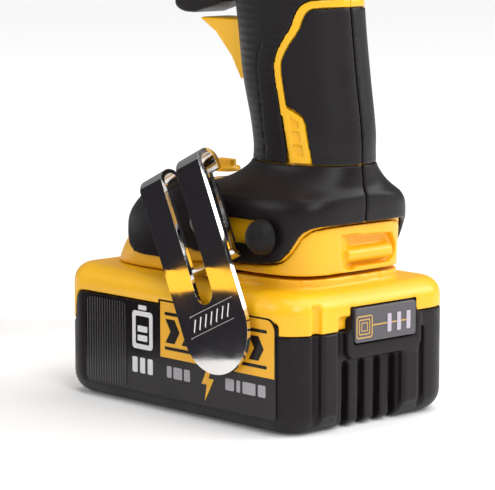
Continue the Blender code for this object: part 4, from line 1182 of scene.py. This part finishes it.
def make_hook():
    back = HOOK_OUT + HOOK_DEPTH
    middle = (HOOK_OUT + back) / 2
    radius = HOOK_DEPTH / 2
    turn = HOOK_CREST - radius
    outer = arc(middle, turn, radius, 180, 0, 24)
    inner = arc(middle, turn, radius - HOOK_T, 180, 0, 24)
    profile = (
        [(HOOK_OUT + HOOK_T, -HOOK_W / 2), (HOOK_OUT, -HOOK_W / 2)] + outer
        + arc(back + 1.6, HOOK_BACK_LOW + 1.6, 1.6, 180, 250, 5)
        + [(back + 1.6 + 0.1, HOOK_BACK_LOW - HOOK_T), (back + 0.9, HOOK_BACK_LOW - HOOK_T)]
        + arc(back + 1.6, HOOK_BACK_LOW + 1.6, 1.6 + HOOK_T, 250, 180, 5) + inner[::-1]
    )
    strip = slab(profile, -HOOK_W / 2, HOOK_W / 2, "rear")
    tip = arc(0, 0, HOOK_W / 2, 180, 360, 32)
    shape = tip + [(HOOK_W / 2, HOOK_CREST + 5), (-HOOK_W / 2, HOOK_CREST + 5)]
    combine(strip, slab(shape, -60, -20), "INTERSECT")
    slot = arc(0, 12.0, HOOK_SLOT / 2, 180, 360, 14)
    slot += [(HOOK_SLOT / 2, HOOK_CREST + 5), (-HOOK_SLOT / 2, HOOK_CREST + 5)]
    cut(strip, slab(slot, -60, middle))
    cut(strip, block((-HOOK_SLOT / 2, middle - 1, turn - 1), (HOOK_SLOT / 2, -20, 80)))
    for low, high in ((-40, -11.5), (11.5, 40)):
        cut(strip, block((low, middle, 0), (high, -20, turn - 3)))
    hole = arc(0, HOOK_SCREW, 2.6, 0, 360, 24)[:-1]
    cut(strip, slab(hole, middle, -20))
    bars = [
        slab(wide_line([(u, 0.9), (u + 2.4, 4.7)], 0.55), HOOK_OUT - 1, HOOK_OUT + 0.25)
        for u in range(-10, 9, 3)
    ]
    for s, shift in ((-0.6, -0.6), (6.2, 1.6)):
        line = wide_line([(shift - 12.0, s), (shift + 11.0, s)], 0.26)
        bars.append(slab(line, HOOK_OUT - 1, HOOK_OUT + 0.25))
    cut(strip, joined(bars))
    return lean(strip)


hand_over(make_hook(), "belt_clip", "chrome plate", "tool", ["belt_hook"], edge=0.3)


# %% Hook mount: boss and screw
def make_boss():
    low = HOOK_OUT + HOOK_DEPTH + 0.3
    pad = slab(rounded(-9, 24, 9, 48, 3.0), low, -30.1)
    for z in (27.5, 44.5):
        cut(pad, slab(rounded(-6.5, z - 0.6, 6.5, z + 0.6, 0.5), low - 1, low + 0.6))
    return lean(cut(pad, slab(arc(0, HOOK_SCREW, 2.3, 0, 360, 20)[:-1], low - 1, -20)))


hand_over(make_boss(), "hook_pad", "black shell", "tool", ["hook_boss"], edge=0.6)


def star_screw(centre, axis, r=4.0, h=1.8):
    """A domed screw head, of radius r and height h, with a six lobed recess."""
    head = spun(
        [(0, h * 1.05), (r * 0.45, h), (r * 0.8, h * 0.75), (r, h * 0.25), (r, 0), (0, 0)],
        (0, 0, 0), (0, 0, 1), 40)
    lobes = []
    for i in range(24):
        angle = 2 * math.pi * i / 24
        lobe = r * (0.44 if i % 4 < 2 else 0.33)
        lobes.append((lobe * math.cos(angle), lobe * math.sin(angle)))
    cut(head, slab(lobes, h * 0.35, h * 2, "top"))
    turn = Vector((0, 0, 1)).rotation_difference(Vector(axis)).to_matrix()
    bmesh.ops.rotate(head, cent=(0, 0, 0), matrix=turn, verts=head.verts)
    bmesh.ops.translate(head, vec=centre, verts=head.verts)
    return head


screw_x = HOOK_X - HOOK_SCREW * math.sin(HOOK_LEAN)
screw_z = HOOK_Z + HOOK_SCREW * math.cos(HOOK_LEAN)
hook_screw = star_screw((screw_x, HOOK_OUT + HOOK_DEPTH - HOOK_T - 0.3, screw_z), (0, -1, 0))
hand_over(hook_screw, "hook_screw_head", "blued steel", "tool", ["hook_screw"], edge=0.12)


# %% Bumper knob
knob_low, knob_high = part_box("bumper_knob")
KNOB_R = (knob_high.x - knob_low.x) / 2 / MM
KNOB_X = (knob_high.x + knob_low.x) / 2 / MM
KNOB_Z = (knob_high.z + knob_low.z) / 2 / MM
KNOB_TIP = knob_low.y / MM
KNOB_LEN = (knob_high.y - knob_low.y) / MM


def make_knob():
    dome = arc(0, KNOB_R * 0.95, KNOB_R * 0.95, -90, 0, 14)
    profile = [(r + KNOB_R * 0.05 * (r > 0.01), h) for r, h in dome]
    profile += [(KNOB_R * 0.97, KNOB_LEN - 0.8), (KNOB_R * 0.8, KNOB_LEN), (0, KNOB_LEN)]
    return spun(profile, (KNOB_X, KNOB_TIP, KNOB_Z), (0, 1, 0), 56)


hand_over(make_knob(), "bumper_ball", "ball rubber", "tool", ["bumper_knob"])

# %% Trigger and mode selector
trigger_low, trigger_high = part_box("trigger")


def make_trigger():
    front = trigger_low.x / MM
    low = trigger_low.z / MM
    high = trigger_high.z / MM
    half = trigger_high.y / MM
    face = rounded_line([
        (front + 10, low), (front + 4.2, low), (front + 0.2, low + 1.8), (front, low + 4.4),
        (front + 2.2, low + 10), (front + 4.4, 155), (front + 5.4, 168), (front + 11, high)])
    bm = slab(face + [(-8, high), (-8, 139)], -half, half)
    sides = [e for e in bm.edges if abs(e.verts[0].co.y - e.verts[1].co.y) < 0.01]
    round_over(bm, sides, 2.4, 4)
    combine(bm, block((-9, -4, 148), (-2.5, 4, 166)), "UNION")
    return soften(bm, 0.45, 3)


hand_over(make_trigger(), "finger_lever", "black shell", "trigger_lever", ["trigger"])

dial_low, dial_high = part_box("mode_selector")


def make_dial():
    x = (dial_low.x + dial_high.x) / 2 / MM
    r = (dial_high.x - dial_low.x) / 2 / MM
    low = dial_low.z / MM
    h = (dial_high.z - dial_low.z) / MM
    base = spun(
        [(0, h * 0.4), (r * 0.9, h * 0.4), (r * 0.98, h * 0.25), (r, 0), (0, 0)], (x, 0, low),
        (0, 0, 1), 48)
    outline = rounded(x - r * 0.8, -r * 0.3, x + r * 0.8, r * 0.3, r * 0.25)
    fin = slab(outline, low + 0.4, low + h, "top")
    return soften(combine(base, fin, "UNION"), 0.22, 3)


hand_over(make_dial(), "mode_dial", "yellow shell", "selector", ["mode_selector"])
# %% [markdown]
# ## The head
#
# The head is two yellow shells split down the middle, a black rear cap and a rubber pad on
# each side. It holds the flywheel drive, so it breathes through slots beside the motor. The
# shells are cut from the head's own form; the handle's top is joined on before softening,
# so that the two meet in a soft valley and not in a hard line.

# %% Head shells
NECK_LOW = 150.0
CAP_X = 48.0
MOTOR_X = -20.0
MOTOR_Z = 205.6
TRIGGER_SPACE = block((-40, -8.6, 133.4), (4, 8.6, 179.0))
SLOT_FANS = [(-6.0 + 7.0 * i, 214.0 + 1.0 * i) for i in range(4)]


def head_blank():
    bm = head_form(0.0, last=7)
    neck = combine(grip_form(0.0), block((-60, -60, NECK_LOW), (80, 60, 205)), "INTERSECT")
    combine(bm, neck, "UNION")
    combine(bm, block((-150, -6, 197), (-132, 6, 214)), "UNION")
    for low, high in ((-60, -30.2), (30.2, 60)):
        for x, z in SLOT_FANS:
            slot = slab(wide_line([(x - 3, z - 11), (x + 3, z + 7)], 1.3), low, high)
            cut(bm, slot)
    for side in (-1, 1):
        ring = arc(MOTOR_X - 26, MOTOR_Z + 6, 10.5, 0, 360, 40)[:-1]
        cut(bm, slab(ring, *reach(side, 30.0)))
    return soften(bm, 0.95, 4)


HEAD_BLANK = head_blank()


def make_head(side):
    bm = HEAD_BLANK.copy()
    cut(bm, head_form(-WALL, last=8), grip_form(-WALL))
    cut(bm, block((-170, -12.8, 213), (-140, 12.8, 241)), TRIGGER_SPACE)
    cut(bm, spun([(0, 0), (2.3, 0), (2.3, 40), (0, 40)], (-170, 0, 202.0), (1, 0, 0)))
    low, high = reach(side, SEAM_HALF)
    return combine(bm, block((-170, low, 150.5), (90, high, 290)), "INTERSECT")


hand_over_pair(make_head, "head_shell", "yellow shell", "housing")


# %% Handle core that closes the shells under the skins
def make_core(side):
    bm = cut(grip_form(0.0), HOLLOW)
    low, high = reach(side, SEAM_HALF)
    combine(bm, block((-60, low, FOOT_TOP + 0.3), (80, high, 150.2)), "INTERSECT")
    return cut(bm, TRIGGER_SPACE, block((-30, -7.4, 112.0), (8, 7.4, 190)))


hand_over_pair(make_core, "handle_core", "yellow shell", "housing")


# %% Rear cap with its louvres
def make_cap():
    bm = head_form(0.0, first=5)
    combine(bm, block((CAP_X + 0.3, -60, 150), (90, 60, 290)), "INTERSECT")
    for i in range(5):
        z = 212.0 + 8.5 * i
        cut(bm, slab(rounded(-15.0, z - 1.4, 15.0, z + 1.4, 1.3), 66.0, 90, "rear"))
    for side, _ in SIDES:
        low, high = reach(side, 29.0)
        cut(bm, block((56.0, low, 150), (57.0, high, 300)))
    soften(bm, 0.7, 4)
    room = combine(head_form(-WALL, first=5), block((0, -FAR, 150), (80, FAR, 290)), "INTERSECT")
    return cut(bm, room)


hand_over(make_cap(), "rear_cap", "black shell", "tool", ["head_cap"])

# %% Rubber side pads and case screws
PAD = [(-66.0, 236.0), (-58.0, 258.0), (34.0, 262.0), (42.0, 250.0), (42.0, 232.0), (20.0, 228.0),
       (-52.0, 226.0)]
CASE_SCREWS = [(-52.0, 194.5), (36.0, 200.0), (-20.0, 265.0), (36.0, 267.0), (-88.0, 214.0)]


def smooth_loop(points, passes=3):
    """Cut the corners of a closed outline so that it flows."""
    for _ in range(passes):
        flowing = []
        for a, b in zip(points, points[1:] + points[:1]):
            flowing.append((a[0] * 0.8 + b[0] * 0.2, a[1] * 0.8 + b[1] * 0.2))
            flowing.append((a[0] * 0.2 + b[0] * 0.8, a[1] * 0.2 + b[1] * 0.8))
        points = flowing
    return points


def make_pad(side):
    bm = combine(
        slab(smooth_loop(PAD), *reach(side, 20.0)), head_form(1.6, last=8), "INTERSECT")
    cut(bm, head_form(-0.8, last=8))
    for i in range(4):
        z = 236.0 + 5.5 * i
        line = wide_line([(-46.0, z - 1.5), (30.0, z + 1.5)], 0.5)
        cut(bm, combine(slab(line, *reach(side, 20.0)), head_form(0.9, last=8)))
    return soften(bm, 0.55, 4)


hand_over_pair(make_pad, "side_pad", "palm rubber")

def head_half_width(x):
    for a, b in zip(HEAD_SECTIONS, HEAD_SECTIONS[1:]):
        if a[0] <= x <= b[0]:
            share = (x - a[0]) / (b[0] - a[0])
            return a[3] + (b[3] - a[3]) * share
    return HEAD_SECTIONS[-1][3]


screws = [star_screw((x, head_half_width(x) - 1.3, z), (0, 1, 0), 3.4, 1.6) for x, z in CASE_SCREWS]
hand_over(joined(screws), "case_screws", "blued steel", "tool", edge=0.12)

# %% [markdown]
# ## Nose, magazine and depth wheel
#
# The parts here are simple in the frame, and their shape is right, so most keep it and only
# gain small edge radii and a finish. Three are made anew because their surface matters more:
# the magazine cover has windows that show how many brads are left, its latch has finger
# ribs, and the depth wheel is knurled.

# %% Magazine cover with brad windows
cover_low, cover_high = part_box("magazine_cover")
WINDOWS = 4


def make_magazine_cover():
    low_x, low_y, low_z = [v / MM for v in cover_low]
    high_x, high_y, high_z = [v / MM for v in cover_high]
    bm = slab(rounded(low_x, low_z, high_x, high_z, 1.5), low_y, high_y)
    middle = (low_x + high_x) / 2
    for i in range(WINDOWS):
        z = low_z + 78 + 29 * i
        window = rounded(middle + 13, z, middle + 17, z + 22, 1.9)
        cut(bm, slab(window, low_y - 1, high_y + 1))
    for x in (low_x + 5, high_x - 5):
        flute = rounded(x - 0.7, low_z + 8, x + 0.7, high_z - 8, 0.6)
        cut(bm, slab(flute, high_y - 0.6, high_y + 1))
    groove_tool = spun(
        [(0, 0), (3.3, 0), (3.3, high_z), (0, high_z)], (middle, 0, low_z + 4), (0, 0, 1))
    return cut(bm, groove_tool)


hand_over(
    make_magazine_cover(), "brad_cover", "black shell", "cover", ["magazine_cover"],
    edge=0.4)


# %% Cover latch with finger ribs
latch_low, latch_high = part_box("magazine_latch")


def make_latch():
    low_x, low_y, low_z = [v / MM for v in latch_low]
    high_x, high_y, high_z = [v / MM for v in latch_high]
    bm = slab(rounded(low_x, low_z, high_x, high_z, 3.0), low_y, high_y)
    for i in range(4):
        z = low_z + 3.6 + 2.4 * i
        cut(bm, slab(rounded(low_x + 2.5, z, high_x - 2.5, z + 1.1, 0.5), high_y - 0.9, high_y + 1))
    return soften(bm, 0.3, 3)


hand_over(make_latch(), "cover_catch", "yellow shell", "cover_latch", ["magazine_latch"])

# %% Knurled depth wheel
wheel_low, wheel_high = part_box("depth_wheel")
KNURLS = 30


def make_depth_wheel():
    r = (wheel_high.y - wheel_low.y) / 2 / MM
    y = (wheel_high.y + wheel_low.y) / 2 / MM
    z = (wheel_high.z + wheel_low.z) / 2 / MM
    rim = []
    for i in range(KNURLS * 4):
        angle = 2 * math.pi * i / (KNURLS * 4)
        reach = r - 0.35 + 0.35 * math.cos(angle * KNURLS)
        rim.append((y + reach * math.cos(angle), z + reach * math.sin(angle)))
    bm = slab(rim, wheel_low.x / MM, wheel_high.x / MM, "rear")
    bore = slab(arc(y, z, 2.3, 0, 360, 24)[:-1], -200, -100, "rear")
    return cut(bm, bore)


hand_over(
    make_depth_wheel(), "knurled_wheel", "grey plastic", "depth", ["depth_wheel"],
    edge=0.3)

# %% [markdown]
# ## Dressing the parts that keep their shape
#
# The remaining frame parts are already right, from the nose casting to the springs and
# bearings inside. Each gets the finish of its real material. Where a part was drawn with
# sharp edges, a small bevel modifier catches the light; the corners are welded first,
# because the frame's meshes come as loose triangles.

# %% Finishes and edge radii by part
DRESSED = {
    "cast alloy": {
        "nosepiece": 0.5, "nose_door": 0.5, "magazine_track": 0.4, "drive_frame": 0.4,
        "roller_arm": 0.3, "rotor_can": 0.0,
    },
    "bright steel": {
        "contact_trip": 0.25, "door_latch": 0.3, "arm_pin": 0.2, "roller_pin": 0.2, "door_pin": 0.2,
        "depth_screw": 0.15, "driver_blade": 0.15, "flywheel": 0.0, "motor_shaft": 0.2,
        "bearing_left": 0.2, "bearing_right": 0.2, "guide_rod_left": 0.2, "guide_rod_right": 0.2,
        "pinch_roller": 0.2, "solenoid_plunger": 0.2, "nail_strip": 0.1,
    },
    "blued steel": {
        "button_spring": 0.0, "trigger_spring": 0.0, "trip_spring": 0.0, "pusher_spring": 0.0,
        "return_spring_left": 0.0, "return_spring_right": 0.0,
    },
    "ball rubber": {"magazine_end_cap": 0.0, "trip_pad": 0.0, "driver_bumper": 0.0},
    "black shell": {"pusher": 0.15, "switch_module": 0.0, "terminal_block": 0.0},
    "copper wire": {"motor_stator": 0.2, "solenoid_body": 0.0},
    "circuit board": {"control_board": 0.0},
    "cell sleeve": {"cell_block": 0.0},
    "clear lens": {"work_light": 0.3},
}


def dress(node, finish, radius):
    node.data.materials.clear()
    node.data.materials.append(FINISHES[finish])
    if radius:
        weld = node.modifiers.new("weld corners", "WELD")
        weld.merge_threshold = 0.00001
        rim = node.modifiers.new("edge radius", "BEVEL")
        rim.width = radius * MM
        rim.segments = 2
        rim.limit_method = "ANGLE"
        rim.angle_limit = CREASE


for finish, parts in DRESSED.items():
    for name, radius in parts.items():
        dress(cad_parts[name], finish, radius)

shown = set()
for piece in made_pieces:
    shown.update(piece.get("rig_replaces", []))
print(len(shown), "parts made anew,", sum(len(p) for p in DRESSED.values()), "dressed")
